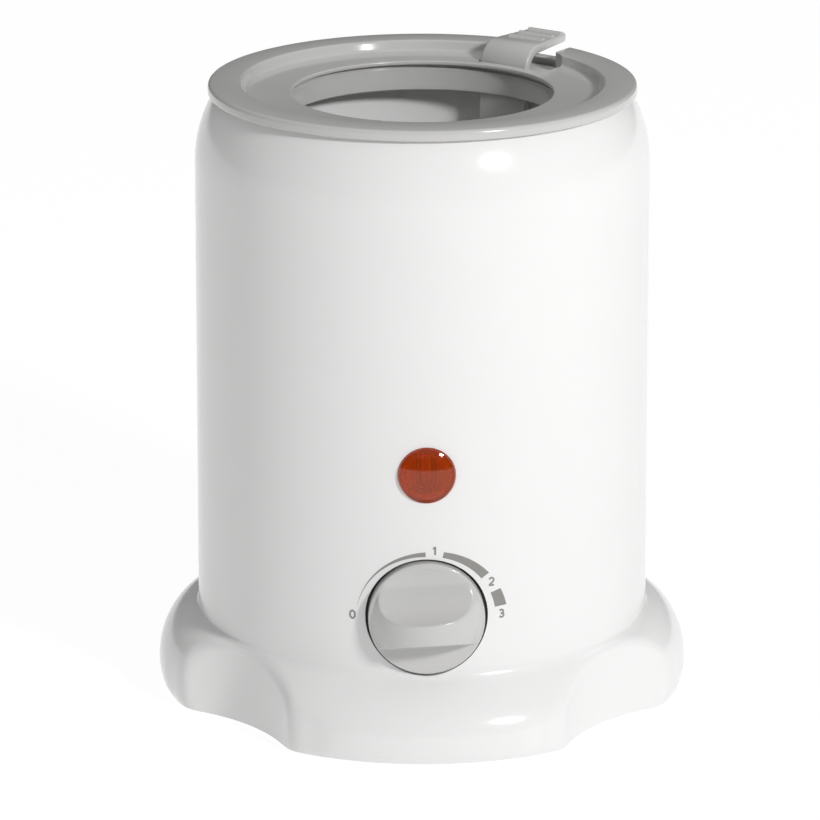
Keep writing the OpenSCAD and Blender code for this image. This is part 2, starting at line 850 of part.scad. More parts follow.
module control_knob() color(grey) {
    front(knob_z) rotate(knob_rest) difference() {
        union() {
            bar(knob_r, knob_back, knob_front);
            intersection() {
                translate([0, dome_up, nose_front - dome_r]) sphere(r = dome_r);
                bar(dome_edge_r, knob_front - over, nose_front + over);
            }
        }
        translate([0, scoop_up, knob_front + scoop_rise + scoop_r])
            rotate([0, 90, 0]) bar(scoop_r, -knob_r - over, knob_r + over);
        rotate([90, 0, 90]) translate([0, 0, -knob_r - over]) linear_extrude(2 * (knob_r + over)) polygon([
            [-knob_r - over, ledge_front], [-step_drop, ledge_front],
            [-step_drop + 2 * dome_h * tan(step_lean), ledge_front + 2 * dome_h],
            [-knob_r - over, ledge_front + 2 * dome_h]
        ]);
        bar(nut_room_r, 0, spot_face + nut_t + nut_room);
        bar(shaft_r + shaft_gap, 0, shaft_tip + shaft_gap);
    }
}

module thermostat_shaft() color(steel) {
    front(knob_z) bar(shaft_r, shaft_end, shaft_tip);
}

module bottle_lifter() color(grey) {
    foot_z = platform_z;
    lean = (strap_w - tip_w) / 2;
    peg_r = 2;
    slots = 8;
    slot_len = 16;
    slot_w = 4;
    rotate(90 - lifter_angle) {
        intersection() {
            rotate([90, 0, 0]) translate([0, 0, -strap_w / 2]) linear_extrude(strap_w) polygon(concat(
                [[strap_r, foot_z], [strap_r + strap_t, foot_z]],
                arc([strap_r + bend_r, tab_z - bend_r], bend_r - strap_t, 180, 90),
                [[tip_r, tab_z - strap_t], [tip_r, tab_z]],
                arc([strap_r + bend_r, tab_z - bend_r], bend_r, 90, 180)
            ));
            translate([0, 0, foot_z]) linear_extrude(tab_z) polygon([
                [0, -strap_w / 2], [strap_r + bend_r, -strap_w / 2], [tip_r, -strap_w / 2 + lean],
                [tip_r, strap_w / 2 - lean], [strap_r + bend_r, strap_w / 2], [0, strap_w / 2]
            ]);
        }
        for (i = [0:ridges - 1]) translate([tip_r - 2 - i * ridge_pitch, 0, tab_z + ridge_h - ridge_r])
            rotate([90, 0, 0]) bar(ridge_r, -tip_w / 2 + 0.5, tip_w / 2 - 0.5);
        translate([platform_r - 6, -strap_w / 2, foot_z])
            cube([strap_r + strap_t - platform_r + 6, strap_w, platform_t]);
        difference() {
            bar(platform_r, foot_z, foot_z + platform_t);
            for (i = [0:slots - 1]) rotate(360 * (i + 0.5) / slots)
                translate([platform_r / 3, -slot_w / 2, foot_z - over])
                    cube([slot_len, slot_w, platform_t + 2 * over]);
        }
        for (i = [0:2]) rotate(120 * i) translate([platform_r - 4, 0, 0])
            bar(peg_r, foot_z - peg_h, foot_z + platform_t / 2);
    }
}

module live_wire() color([0.45, 0.25, 0.12]) {
    start = [-block_pitch, block_front, way_z];
    end = [-tab_x, tab_end, knob_z];
    wire(smooth([start, start + [0, -6, 0], end + [-1.5, 19, -14], end + [-0.5, 6.5, -2], end]));
}

module switched_wire() color([0.7, 0.1, 0.1]) {
    start = [tab_x, tab_end, knob_z];
    end = pin_tip([1, 1]);
    wire(smooth([
        start, start + [0.6, 5.6, -0.4], start + [7, 19.6, -1.6], start + [12, 37.6, -0.6],
        end + [11, -5, -9],
        end + [3, 6.4, -6], end + [-3, 4.9, -2.5], end + [-2.4, 1.5, -0.2], end
    ]));
}

module fuse_link() color([0.7, 0.1, 0.1]) {
    start = pin_tip([-1, 1]);
    end = [fuse_x + 0.2, fuse_y + fuse_l / 2 + fuse_lead_l + 0.8, plate_z - fuse_r];
    wire(smooth([start, start + [2.3, 1.4, -0.3], start + [5.2, 0.4, -1], start + [4.7, -3.4, 0], end]));
}

module neutral_wire() color([0.15, 0.25, 0.6]) {
    start = [block_pitch, block_front, way_z];
    end = [fuse_x, fuse_y - fuse_l / 2 - fuse_lead_l - 2 * fit_gap, plate_z - fuse_r];
    wire(smooth([
        start, start + [0, -7, 0], start + [-5, -15, 6], end + [5, -5, -22], end + [0, -6, -8],
        end + [0, -2.8, -1.5], end
    ]));
}

module lamp_leads() color([0.85, 0.85, 0.8]) {
    start = [tab_x, tab_end, knob_z];
    wire(smooth(concat(
        lead_drop(1), [start + [8, -10.5, 7.4], start + [2, -5, 4.4], start + [0, -3.5, 1.3]]
    )));
    end = [0, block_front, way_z];
    wire(smooth(concat(lead_drop(-1), [
        [-start[0], start[1], start[2]] + [-8, -10.5, 6.4], [-start[0], start[1], start[2]] + [-12, 9, -8],
        end + [-20, -22, 2], end + [-10, -12, -3.4], end + [0, -6, -1.4], end
    ])));
}

// Upper stretch of a lamp lead, from the electrode to below the heater plate
function lead_drop(side) = [
    [side * (electrode_x + 0.3), -bulb_front, lead_end_z - wire_r - fit_gap],
    spot(side * 7, bulb_front + bulb_r, lead_end_z - 1),
    spot(side * 16, lead_r, lead_end_z - 3.4), spot(side * 22, lead_r, lead_end_z - 8),
    spot(side * 26, lead_r - wire_r - 0.1, plate_z - 2), spot(side * 26, low_flange_r - 3, plate_z - 5.5)
];

outer_shell();
base_plate();
rubber_feet();
base_screws();
water_well();
well_gasket();
heater_plate();
heater_screws();
heating_element();
thermal_fuse();
fuse_clip();
fuse_screw();
heat_bridge();
thermostat_body();
thermostat_bushing();
thermostat_nut();
thermostat_tabs();
lamp_lens();
lamp_holder();
lamp_screws();
glow_lamp();
lamp_electrodes();
terminal_block();
terminal_screws();
cord_gland();
collar_ring();
live_wire();
switched_wire();
fuse_link();
neutral_wire();
lamp_leads();
control_knob();
thermostat_shaft();
bottle_lifter();
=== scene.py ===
# %% [markdown]
# # A bottle warmer, dressed for its picture
# The frame is the engineering model: every piece, seen or hidden, sits in its place at its real size.
# This lesson leaves that frame still and gives the pieces that show their soft moulded shapes
# and their finishes: a glossy white body with a lobed skirt, a grey collar and lifter, a scooped knob,
# an amber lamp and a printed dial.

# %% Load the frame
import math

import bmesh
import bpy
import numpy as np
from mathutils import Matrix, Vector


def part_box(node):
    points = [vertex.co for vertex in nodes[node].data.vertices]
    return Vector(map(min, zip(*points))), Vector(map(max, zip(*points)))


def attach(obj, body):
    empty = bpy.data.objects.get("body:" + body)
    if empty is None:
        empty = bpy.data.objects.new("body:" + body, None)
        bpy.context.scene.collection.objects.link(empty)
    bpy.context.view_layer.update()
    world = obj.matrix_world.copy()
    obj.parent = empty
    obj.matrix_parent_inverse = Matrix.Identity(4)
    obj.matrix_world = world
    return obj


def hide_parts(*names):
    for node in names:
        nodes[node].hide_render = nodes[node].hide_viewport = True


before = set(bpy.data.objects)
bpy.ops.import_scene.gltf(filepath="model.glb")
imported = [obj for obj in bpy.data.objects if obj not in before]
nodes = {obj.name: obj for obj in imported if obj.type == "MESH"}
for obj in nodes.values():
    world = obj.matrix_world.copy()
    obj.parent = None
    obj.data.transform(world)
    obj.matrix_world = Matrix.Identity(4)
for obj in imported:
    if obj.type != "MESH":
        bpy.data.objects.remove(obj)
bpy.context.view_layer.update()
scene = bpy.context.scene
MM = 0.001

# %% [markdown]
# ## Camera
# The picture was taken with a long lens from above the collar, about one degree off the knob's axis.
# A camera is only an object with a place, a turn and a lens, so it is set by numbers.

# %% Camera
CAMERA_PLACE = (-0.024449, -1.213868, 0.451530)
CAMERA_DIP = 17.227
CAMERA_TURN = -1.0
CAMERA_LENS = 207.955
SENSOR = 36.0

camera = bpy.data.objects.new("camera", bpy.data.cameras.new("camera"))
scene.collection.objects.link(camera)
camera.data.sensor_width = SENSOR
camera.data.lens = CAMERA_LENS
camera.location = CAMERA_PLACE
camera.rotation_euler = (math.radians(90 - CAMERA_DIP), 0, math.radians(CAMERA_TURN))
scene.camera = camera
print("camera lens", CAMERA_LENS, "mm")

# %% [markdown]
# ## Light
# One main lamp stands at the front right, where the small bright marks on the shoulder, the skirt and
# the lamp all point back to. The room is dark at its sides and bright overhead, and the white table
# sends soft light up from below.

# %% Lamps
KEY_AZIMUTH = 38.0
KEY_HEIGHT = 30.0
KEY_DISTANCE = 1.5
KEY_SIZE = 0.22
KEY_POWER = 12.4
AIM = Vector((0, 0, 0.08))


def lamp_at(name, azimuth, height, distance, size, power):
    """An area lamp that looks at the object; azimuth runs from the front towards the right."""
    a = math.radians(azimuth)
    h = math.radians(height)
    away = Vector((math.sin(a) * math.cos(h), -math.cos(a) * math.cos(h), math.sin(h)))
    lamp = bpy.data.objects.new(name, bpy.data.lights.new(name, "AREA"))
    lamp.data.shape = "DISK"
    lamp.data.size = size
    lamp.data.energy = power
    lamp.location = AIM + away * distance
    lamp.rotation_euler = away.to_track_quat("Z", "Y").to_euler()
    scene.collection.objects.link(lamp)


lamp_at("key_lamp", KEY_AZIMUTH, KEY_HEIGHT, KEY_DISTANCE, KEY_SIZE, KEY_POWER)
scene.view_settings.view_transform = "Standard"
print("key lamp", KEY_POWER, "W")

# %% Room
ROOM_SIDES = 0.08
ROOM_TOP = 0.98
ROOM_EDGE = 0.35
BACKDROP = 1.0

world = bpy.data.worlds.new("room")
scene.world = world
world.use_nodes = True
wn = world.node_tree.nodes
wl = world.node_tree.links
wn.clear()
room_way = wn.new("ShaderNodeTexCoord")
room_up = wn.new("ShaderNodeSeparateXYZ")
room_fade = wn.new("ShaderNodeMapRange")
room_fade.inputs["From Min"].default_value = ROOM_EDGE
room_fade.inputs["From Max"].default_value = 1.0
room_fade.inputs["To Min"].default_value = ROOM_SIDES
room_fade.inputs["To Max"].default_value = ROOM_TOP
room_light = wn.new("ShaderNodeBackground")
room_seen = wn.new("ShaderNodeBackground")
room_seen.inputs["Strength"].default_value = BACKDROP
room_path = wn.new("ShaderNodeLightPath")
room_mix = wn.new("ShaderNodeMixShader")
room_out = wn.new("ShaderNodeOutputWorld")
wl.new(room_way.outputs["Generated"], room_up.inputs["Vector"])
wl.new(room_up.outputs["Z"], room_fade.inputs["Value"])
wl.new(room_fade.outputs["Result"], room_light.inputs["Strength"])
wl.new(room_path.outputs["Is Camera Ray"], room_mix.inputs["Fac"])
wl.new(room_light.outputs["Background"], room_mix.inputs[1])
wl.new(room_seen.outputs["Background"], room_mix.inputs[2])
wl.new(room_mix.outputs["Shader"], room_out.inputs["Surface"])
print("room light", ROOM_SIDES, "at the sides and", ROOM_TOP, "overhead")

# %% [markdown]
# ## Table
# The table is plain white paper, lit so strongly that it glows and lights the object from below.
# The small share of ordinary diffuse white that is left is what lets the object's shadow show.

# %% Table
TABLE_HALF = 4.0
TABLE_GLOW = 0.86
TABLE_STRENGTH = 1.07
PAPER_COLOUR = (0.95, 0.95, 0.95, 1)

table = bpy.data.objects.new("table", bpy.data.meshes.new("table"))
corners = [(x, y, 0) for x, y in ((-1, -1), (1, -1), (1, 1), (-1, 1))]
table.data.from_pydata([tuple(c * TABLE_HALF for c in p) for p in corners], [], [(0, 1, 2, 3)])
scene.collection.objects.link(table)
paper = bpy.data.materials.new("paper")
paper.use_nodes = True
pn = paper.node_tree.nodes
pl = paper.node_tree.links
pn.clear()
paper_white = pn.new("ShaderNodeBsdfDiffuse")
paper_white.inputs["Color"].default_value = PAPER_COLOUR
paper_glow = pn.new("ShaderNodeEmission")
paper_glow.inputs["Strength"].default_value = TABLE_STRENGTH
paper_mix = pn.new("ShaderNodeMixShader")
paper_mix.inputs["Fac"].default_value = TABLE_GLOW
paper_out = pn.new("ShaderNodeOutputMaterial")
pl.new(paper_white.outputs[0], paper_mix.inputs[1])
pl.new(paper_glow.outputs[0], paper_mix.inputs[2])
pl.new(paper_mix.outputs[0], paper_out.inputs["Surface"])
table.data.materials.append(paper)
print("table glow share", TABLE_GLOW)

# %% [markdown]
# ## Finishes
# Moulded plastic is never one flat colour. Each finish starts from its own colour and adds what the
# mould leaves: a faint mottling in the colour, a roughness that wanders a little, and a slight bump.
# One helper makes the common part, so that each finish is only a few numbers.

# %% Finish helper
MOTTLE_SIZE = 12
BUMP_DEPTH = 0.2 * MM


def finish(name, colour, roughness, mottle=0.03, grain=900.0, bump=0.02, wander=0.06, metallic=0.0):
    """A shader whose colour, roughness and bump vary with noise on the piece's own coordinates."""
    mat = bpy.data.materials.new(name)
    mat.use_nodes = True
    tree = mat.node_tree
    shader = tree.nodes["Principled BSDF"]
    shader.inputs["Metallic"].default_value = metallic
    place = tree.nodes.new("ShaderNodeTexCoord")
    cloud = tree.nodes.new("ShaderNodeTexNoise")
    cloud.inputs["Scale"].default_value = grain / MOTTLE_SIZE
    cloud.inputs["Detail"].default_value = 3
    fine = tree.nodes.new("ShaderNodeTexNoise")
    fine.inputs["Scale"].default_value = grain
    fine.inputs["Detail"].default_value = 2
    tint = tree.nodes.new("ShaderNodeMix")
    tint.data_type = "RGBA"
    dark = [c * (1 - mottle) for c in colour]
    light = [min(c * (1 + mottle), 1) for c in colour]
    tint.inputs["A"].default_value = (*dark, 1)
    tint.inputs["B"].default_value = (*light, 1)
    rough = tree.nodes.new("ShaderNodeMapRange")
    rough.inputs["To Min"].default_value = roughness - wander / 2
    rough.inputs["To Max"].default_value = roughness + wander / 2
    relief = tree.nodes.new("ShaderNodeBump")
    relief.inputs["Strength"].default_value = bump
    relief.inputs["Distance"].default_value = BUMP_DEPTH
    link = tree.links.new
    link(place.outputs["Object"], cloud.inputs["Vector"])
    link(place.outputs["Object"], fine.inputs["Vector"])
    link(cloud.outputs["Fac"], tint.inputs["Factor"])
    link(cloud.outputs["Fac"], rough.inputs["Value"])
    link(fine.outputs["Fac"], relief.inputs["Height"])
    link(tint.outputs["Result"], shader.inputs["Base Color"])
    link(rough.outputs["Result"], shader.inputs["Roughness"])
    link(relief.outputs["Normal"], shader.inputs["Normal"])
    return mat


def tune(mat, values):
    """Sets named inputs of a finish's shader."""
    for label, value in values.items():
        mat.node_tree.nodes["Principled BSDF"].inputs[label].default_value = value


# %% The finishes
white_gloss = finish("white_gloss", (0.84, 0.84, 0.835), 0.16, mottle=0.012)
tune(white_gloss, {"Specular IOR Level": 0.22})
grey_gloss = finish("grey_gloss", (0.575, 0.572, 0.562), 0.14)
dial_ink = finish("dial_ink", (0.27, 0.265, 0.25), 0.5, mottle=0.08, grain=3000.0)
matt_rubber = finish("matt_rubber", (0.035, 0.035, 0.035), 0.7, mottle=0.2, bump=0.2)
plated_steel = finish("plated_steel", (0.62, 0.62, 0.64), 0.28, metallic=1.0)
pressed_metal = finish("pressed_metal", (0.78, 0.79, 0.8), 0.35, metallic=1.0, bump=0.06)
yellow_brass = finish("yellow_brass", (0.75, 0.58, 0.28), 0.3, metallic=1.0)
cream_resin = finish("cream_resin", (0.72, 0.68, 0.57), 0.55, mottle=0.05)
bulb_glass = finish("bulb_glass", (0.95, 0.93, 0.9), 0.05, mottle=0.01, bump=0.0, wander=0.02)
tune(bulb_glass, {"Transmission Weight": 1.0})
amber = finish("amber", (0.95, 0.2, 0.012), 0.06, mottle=0.02, bump=0.0, wander=0.02)
tune(amber, {"Transmission Weight": 0.9, "IOR": 1.49})
# The faint red emission is a painted glow: it stands in for light falling inside the unlit lamp window.
tune(amber, {"Emission Color": (1.0, 0.1, 0.0, 1.0), "Emission Strength": 0.025})
sleeve_brown = finish("sleeve_brown", (0.20, 0.08, 0.03), 0.5)
sleeve_red = finish("sleeve_red", (0.45, 0.03, 0.02), 0.5)
sleeve_blue = finish("sleeve_blue", (0.03, 0.09, 0.35), 0.5)
sleeve_white = finish("sleeve_white", (0.75, 0.74, 0.68), 0.5)
print("finishes:", len(bpy.data.materials))

# %% [markdown]
# ## Shaping tools
# Most pieces of this object are turned or swept, so a few small helpers carry the lesson: they round
# the corners of an outline, turn it round an axis, join rings of points into a skin, and hang the
# finished piece on its body. Shapes are drawn in millimetres and brought to metres by the helpers.


# %% Outline helpers
def arc(centre, radius, start, end, steps=8):
    """Points on an arc in a plane, between two angles in degrees."""
    angles = np.radians(np.linspace(start, end, steps + 1))
    return [(centre[0] + radius * math.cos(a), centre[1] + radius * math.sin(a)) for a in angles]


def rounded(corners, steps=5):
    """A closed outline from corners given as (x, y, rounding)."""
    points = []
    for i, (x, y, rounding) in enumerate(corners):
        here = np.array((x, y))
        before = np.array(corners[i - 1][:2]) - here
        after = np.array(corners[(i + 1) % len(corners)][:2]) - here
        before = before / np.linalg.norm(before)
        after = after / np.linalg.norm(after)
        half = math.acos(max(-1.0, min(1.0, before @ after))) / 2
        if rounding <= 0 or half > math.radians(89):
            points.append((x, y))
            continue
        middle = (before + after) / np.linalg.norm(before + after)
        centre = here + middle * rounding / math.sin(half)
        start = here + before * rounding / math.tan(half) - centre
        end = here + after * rounding / math.tan(half) - centre
        a = math.atan2(start[1], start[0])
        turn = (math.atan2(end[1], end[0]) - a + math.pi) % (2 * math.pi) - math.pi
        points += arc(centre, rounding, math.degrees(a), math.degrees(a + turn), steps)
    return points


# %% Mesh helpers
def mesh_object(name, points, faces, place=None):
    """A mesh object from points in millimetres, merged, facing outwards, and brought to metres."""
    mesh = bpy.data.meshes.new(name)
    mesh.from_pydata([tuple(p) for p in points], [], faces)
    shape = bmesh.new()
    shape.from_mesh(mesh)
    bmesh.ops.remove_doubles(shape, verts=shape.verts, dist=1e-4)
    bmesh.ops.recalc_face_normals(shape, faces=shape.faces)
    shape.to_mesh(mesh)
    shape.free()
    if place is not None:
        mesh.transform(place)
    mesh.transform(Matrix.Scale(MM, 4))
    obj = bpy.data.objects.new(name, mesh)
    scene.collection.objects.link(obj)
    return obj


def skin(rows, ring=True):
    """Points and faces that join closed rows. A ring joins the last row to the first, or ends are capped."""
    count = len(rows)
    width = len(rows[0])
    faces = []
    for i in range(count if ring else count - 1):
        j = (i + 1) % count
        for k in range(width):
            m = (k + 1) % width
            faces.append((i * width + k, i * width + m, j * width + m, j * width + k))
    if not ring:
        faces.append(tuple(range(width)))
        faces.append(tuple((count - 1) * width + k for k in range(width)))
    return [p for row in rows for p in row], faces


def turned(name, outline, steps=160, place=None):
    """A closed outline of (radius, height) turned round the upright axis."""
    rows = []
    for i in range(steps):
        a = 2 * math.pi * i / steps
        rows.append([(r * math.cos(a), r * math.sin(a), z) for r, z in outline])
    return mesh_object(name, *skin(rows), place)


def facing_front(height):
    """Turns a shape made round the upright axis to point to the front, at a height."""
    return Matrix.Translation((0, 0, height)) @ Matrix.Rotation(math.radians(90), 4, "X")


# %% Object helpers
def drop(*objs):
    """Removes helper objects that were only needed to make another."""
    for o in objs:
        data = o.data
        bpy.data.objects.remove(o)
        bpy.data.meshes.remove(data)


def plain(obj):
    """Turns an object with modifiers into a plain mesh, in place."""
    bpy.context.view_layer.update()
    solid = bpy.data.meshes.new_from_object(obj.evaluated_get(bpy.context.evaluated_depsgraph_get()))
    obj.modifiers.clear()
    old = obj.data
    obj.data = solid
    bpy.data.meshes.remove(old)
    return obj


def combine(obj, other, how="DIFFERENCE"):
    """Cuts or joins two closed shapes exactly."""
    mod = obj.modifiers.new("combine", "BOOLEAN")
    mod.operation = how
    mod.solver = "EXACT"
    mod.object = other
    plain(obj)
    drop(other)
    return obj


def merged(name, *objs):
    """Several meshes as one object."""
    shape = bmesh.new()
    for o in objs:
        shape.from_mesh(o.data)
    mesh = bpy.data.meshes.new(name)
    shape.to_mesh(mesh)
    shape.free()
    drop(*objs)
    obj = bpy.data.objects.new(name, mesh)
    scene.collection.objects.link(obj)
    return obj


def wear(obj, material, body, replaced=(), sharp=35.0):
    """Gives a finished piece its material, smooth shading and place on a body."""
    obj.data.materials.clear()
    obj.data.materials.append(material)
    obj.data.shade_smooth()
    obj.data.set_sharp_from_angle(angle=math.radians(sharp))
    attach(obj, body)
    if replaced:
        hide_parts(*replaced)
    print(obj.name, len(obj.data.polygons), "faces on", body)
    return obj


# %% [markdown]
# ## The body shell
# The body is one white moulding: a nearly straight wall, a round shoulder under the collar, and a skirt
# that swells into four lobes with hollows between them. The front lobe is leaner than the others.
# Cutting hollows from a turned shape would leave hard edges, so the shell is a grid of points instead.
# Each point of the skirt lies at the smaller of two radii, the profile and the lobed plan, and where
# the two come close a soft minimum rounds the edge, as the mould does.

# %% Sizes of the shell
shell_low, shell_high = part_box("outer_shell")
knob_low, knob_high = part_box("control_knob")
SHELL_Z = shell_low.z / MM
TOP_Z = shell_high.z / MM
SKIRT_R = shell_high.x / MM
BODY_R = 60.6
NECK_R = 60.0
WALL = 2.5
SHOULDER_R = 34.0
SHOULDER_Z = TOP_Z - 18.2
CREASE_Z = SHELL_Z + 21.1
WIDEST_Z = SHELL_Z + 6.0
CREASE_ROUND = 1.0
CREASE_LEAD = 0.6
WALL_FROM = CREASE_Z + 3
BLEND_TO = CREASE_Z + 2
BULGE_STEPS = 29
BULGE_ANGLES = (3, 79)
FRONT_FOOT = (BODY_R + 1.7, SHELL_Z + 19.6)
FRONT_LOW = (SKIRT_R, WIDEST_Z + 0.8)
FRONT_RISE = (SKIRT_R, WIDEST_Z + 5)
FRONT_LEAN = (FRONT_FOOT[0] + 4.6, FRONT_FOOT[1] - 3.9)
FRONT_FILLET = 3.8
FRONT_LEAD = 1.5
FRONT_FROM = 62.0
FRONT_TO = 34.0
FRONT_COS = 0.5
TUCK = 1.2
LOW_ROUND = 0.8
MOUTH_ROUND = 0.3
WALL_LEVELS = np.linspace(64, 26, 24)
SKIRT_LEVELS = (20.5, 18, 14, 10, 6, SHELL_Z + 0.6, SHELL_Z)
PLAN_R = SKIRT_R + 0.2
INDENT_R = 61.8
INDENT_ROUND = 48.0
LOBE_ROUND = 9.0
LOBE_OPENING = 230.0
INDENT_ANGLES = (48.5, 131.5, 228.5, 311.5)
EDGE_BLEND = 3.0
LEDGE_R = 46.3
LEDGE_LOW = TOP_Z - 6.5
LEDGE_HIGH = TOP_Z - 4.0
KNOB_Z = (knob_low.z + knob_high.z) / 2 / MM
KNOB_R = (knob_high.x - knob_low.x) / 2 / MM
KNOB_BACK = -knob_high.y / MM
POCKET_R = KNOB_R + 0.8
POCKET_FLOOR = KNOB_BACK - 0.3
PAD_BACK = POCKET_FLOOR - WALL
BUSH_R = 4.8
LAMP_Z = 76.2
LENS_R = 7.4
GLAND_Z = 32.0
GLAND_HOLE_R = 5.3
COLUMNS = 540
print("shell from", round(SHELL_Z, 2), "to", round(TOP_Z, 2), "skirt", round(SKIRT_R, 2))


# %% Plan and profile of the shell
def plan_radius(azimuth):
    """Distance from the axis to the lobed plan, for azimuths from the front in degrees."""
    d = INDENT_R + INDENT_ROUND
    a = PLAN_R - LOBE_ROUND
    b = INDENT_ROUND + LOBE_ROUND
    turn = math.acos((a * a + d * d - b * b) / (2 * a * d))
    corner = a * np.array([math.cos(turn), math.sin(turn)])
    touch = np.array([d, 0]) + (corner - [d, 0]) * INDENT_ROUND / b
    touch_turn = math.atan2(touch[1], touch[0])
    off = np.min([np.abs((azimuth - m + 180) % 360 - 180) for m in INDENT_ANGLES], axis=0)
    off = np.radians(off)
    hollow = d * np.cos(off) - np.sqrt(np.maximum(INDENT_ROUND**2 - (d * np.sin(off)) ** 2, 0))
    side = np.clip(off - turn, -1, 0)
    corner_r = a * np.cos(side) + np.sqrt(np.maximum(LOBE_ROUND**2 - (a * np.sin(side)) ** 2, 0))
    lobe_r = PLAN_R + LOBE_OPENING * np.maximum(off - turn, 0) ** 2
    return np.where(off < touch_turn, hollow, np.where(off < turn, corner_r, lobe_r))


def soft_min(a, b, k):
    """The smaller of two radii, rounded over a distance k where they meet."""
    k = np.maximum(k, 1e-6)
    h = np.maximum(k - np.abs(a - b), 0) / k
    return np.minimum(a, b) - h * h * k / 4


def bezier(p0, p1, p2, p3, steps):
    """Points along a cubic curve."""
    t = np.linspace(0, 1, steps + 1)[:, None]
    p0, p1, p2, p3 = (np.array(p, float) for p in (p0, p1, p2, p3))
    curve = (1 - t) ** 3 * p0 + 3 * (1 - t) ** 2 * t * p1 + 3 * (1 - t) * t * t * p2 + t**3 * p3
    return [tuple(p) for p in curve]


def shoulder_out(z):
    return NECK_R - SHOULDER_R + math.sqrt(SHOULDER_R**2 - max(z - SHOULDER_Z, 0) ** 2)


def wall_out(z):
    return BODY_R - (BODY_R - NECK_R) * (z - CREASE_Z) / (SHOULDER_Z - CREASE_Z)


def side_bulge():
    """The full bulge of the side lobes, from its widest place up to the crease."""
    a = SKIRT_R - BODY_R
    b = CREASE_Z - WIDEST_Z
    angles = np.radians(np.linspace(*BULGE_ANGLES, BULGE_STEPS + 1))
    return [(BODY_R + a * math.cos(t), WIDEST_Z + b * math.sin(t)) for t in angles]


def front_bulge():
    """The leaner bulge of the front lobe, which leaves room for the fingers under the knob."""
    return bezier(FRONT_LOW, FRONT_RISE, FRONT_LEAN, FRONT_FOOT, BULGE_STEPS)


def outer_profile(bulge, fillet_z, lead):
    """The shell's outer profile from its lower edge to its top edge, as (radius, height)."""
    low = (SKIRT_R - TUCK - LOW_ROUND, SHELL_Z + LOW_ROUND)
    points = arc(low, LOW_ROUND, -90, 0, 4)
    for z in np.linspace(SHELL_Z + 2 * LOW_ROUND, WIDEST_Z, 8):
        points.append((SKIRT_R - TUCK * ((WIDEST_Z - z) / (WIDEST_Z - SHELL_Z)) ** 2, z))
    points += bulge
    start = np.array(points[-1])
    along = start - np.array(points[-2])
    along = along / np.linalg.norm(along)
    end = (wall_out(fillet_z), fillet_z)
    points += bezier(start, start + lead * along, (end[0], end[1] - lead), end, 10)[1:]
    for z in np.linspace(WALL_FROM, SHOULDER_Z, 16):
        points.append((wall_out(z), z))
    turn = math.degrees(math.asin((TOP_Z - SHOULDER_Z) / SHOULDER_R))
    points += arc((NECK_R - SHOULDER_R, SHOULDER_Z), SHOULDER_R, 1, turn, 26)
    return points


def inner_profile():
    """The shell's inner profile from its top edge down. In the skirt it follows the outside."""
    mouth = shoulder_out(TOP_Z) - WALL
    points = [(mouth + MOUTH_ROUND, TOP_Z), (mouth, TOP_Z - MOUTH_ROUND)]
    points += [(shoulder_out(LEDGE_HIGH) - WALL, LEDGE_HIGH), (LEDGE_R, LEDGE_HIGH), (LEDGE_R, LEDGE_LOW)]
    points += [(shoulder_out(LEDGE_LOW) - WALL, LEDGE_LOW), (NECK_R - WALL, SHOULDER_Z)]
    points += [(wall_out(z) - WALL, z) for z in WALL_LEVELS]
    return points + [(None, z) for z in SKIRT_LEVELS]


# %% Body shell
def shell_rows():
    """Rings of points, up the outside of the shell and down its inside."""
    azimuth = np.arange(COLUMNS) * 360 / COLUMNS
    turn = np.radians(azimuth)
    plan = plan_radius(azimuth)
    rings = []
    skirt_rings = []
    from_front = np.abs((azimuth + 180) % 360 - 180)
    share = np.clip((FRONT_FROM - from_front) / (FRONT_FROM - FRONT_TO), 0, 1)
    share = share * share * (3 - 2 * share)
    sides = outer_profile(side_bulge(), CREASE_Z + CREASE_ROUND, CREASE_LEAD)
    front = outer_profile(front_bulge(), FRONT_FOOT[1] + FRONT_FILLET, FRONT_LEAD)
    for (r, z), (front_r, front_z) in zip(sides, front):
        ring = r + (front_r - r) * share
        heights = z + (front_z - z) * share
        if z < BLEND_TO:
            ring = soft_min(ring, plan, np.minimum(EDGE_BLEND, 2 * np.maximum(ring - BODY_R, 0)))
            skirt_rings.append((heights, ring))
        rings.append((ring, heights))
    skirt_z = np.array([h for h, ring in skirt_rings])
    skirt_r = np.array([ring for h, ring in skirt_rings])
    for r, z in inner_profile():
        if r is None:
            outside = np.array([np.interp(z, skirt_z[:, c], skirt_r[:, c]) for c in range(COLUMNS)])
            ring = np.maximum(outside - WALL, BODY_R - WALL)
        else:
            ring = np.full(COLUMNS, r)
            behind_knob = (r * np.sin(turn)) ** 2 + (z - KNOB_Z) ** 2 < (POCKET_R + WALL) ** 2
            at_front = np.cos(turn) > FRONT_COS
            pad = PAD_BACK / np.maximum(np.cos(turn), FRONT_COS)
            ring = np.where(behind_knob & at_front, pad, ring)
        rings.append((ring, np.full(COLUMNS, z)))
    return [list(zip(r * np.sin(turn), -r * np.cos(turn), z)) for r, z in rings]


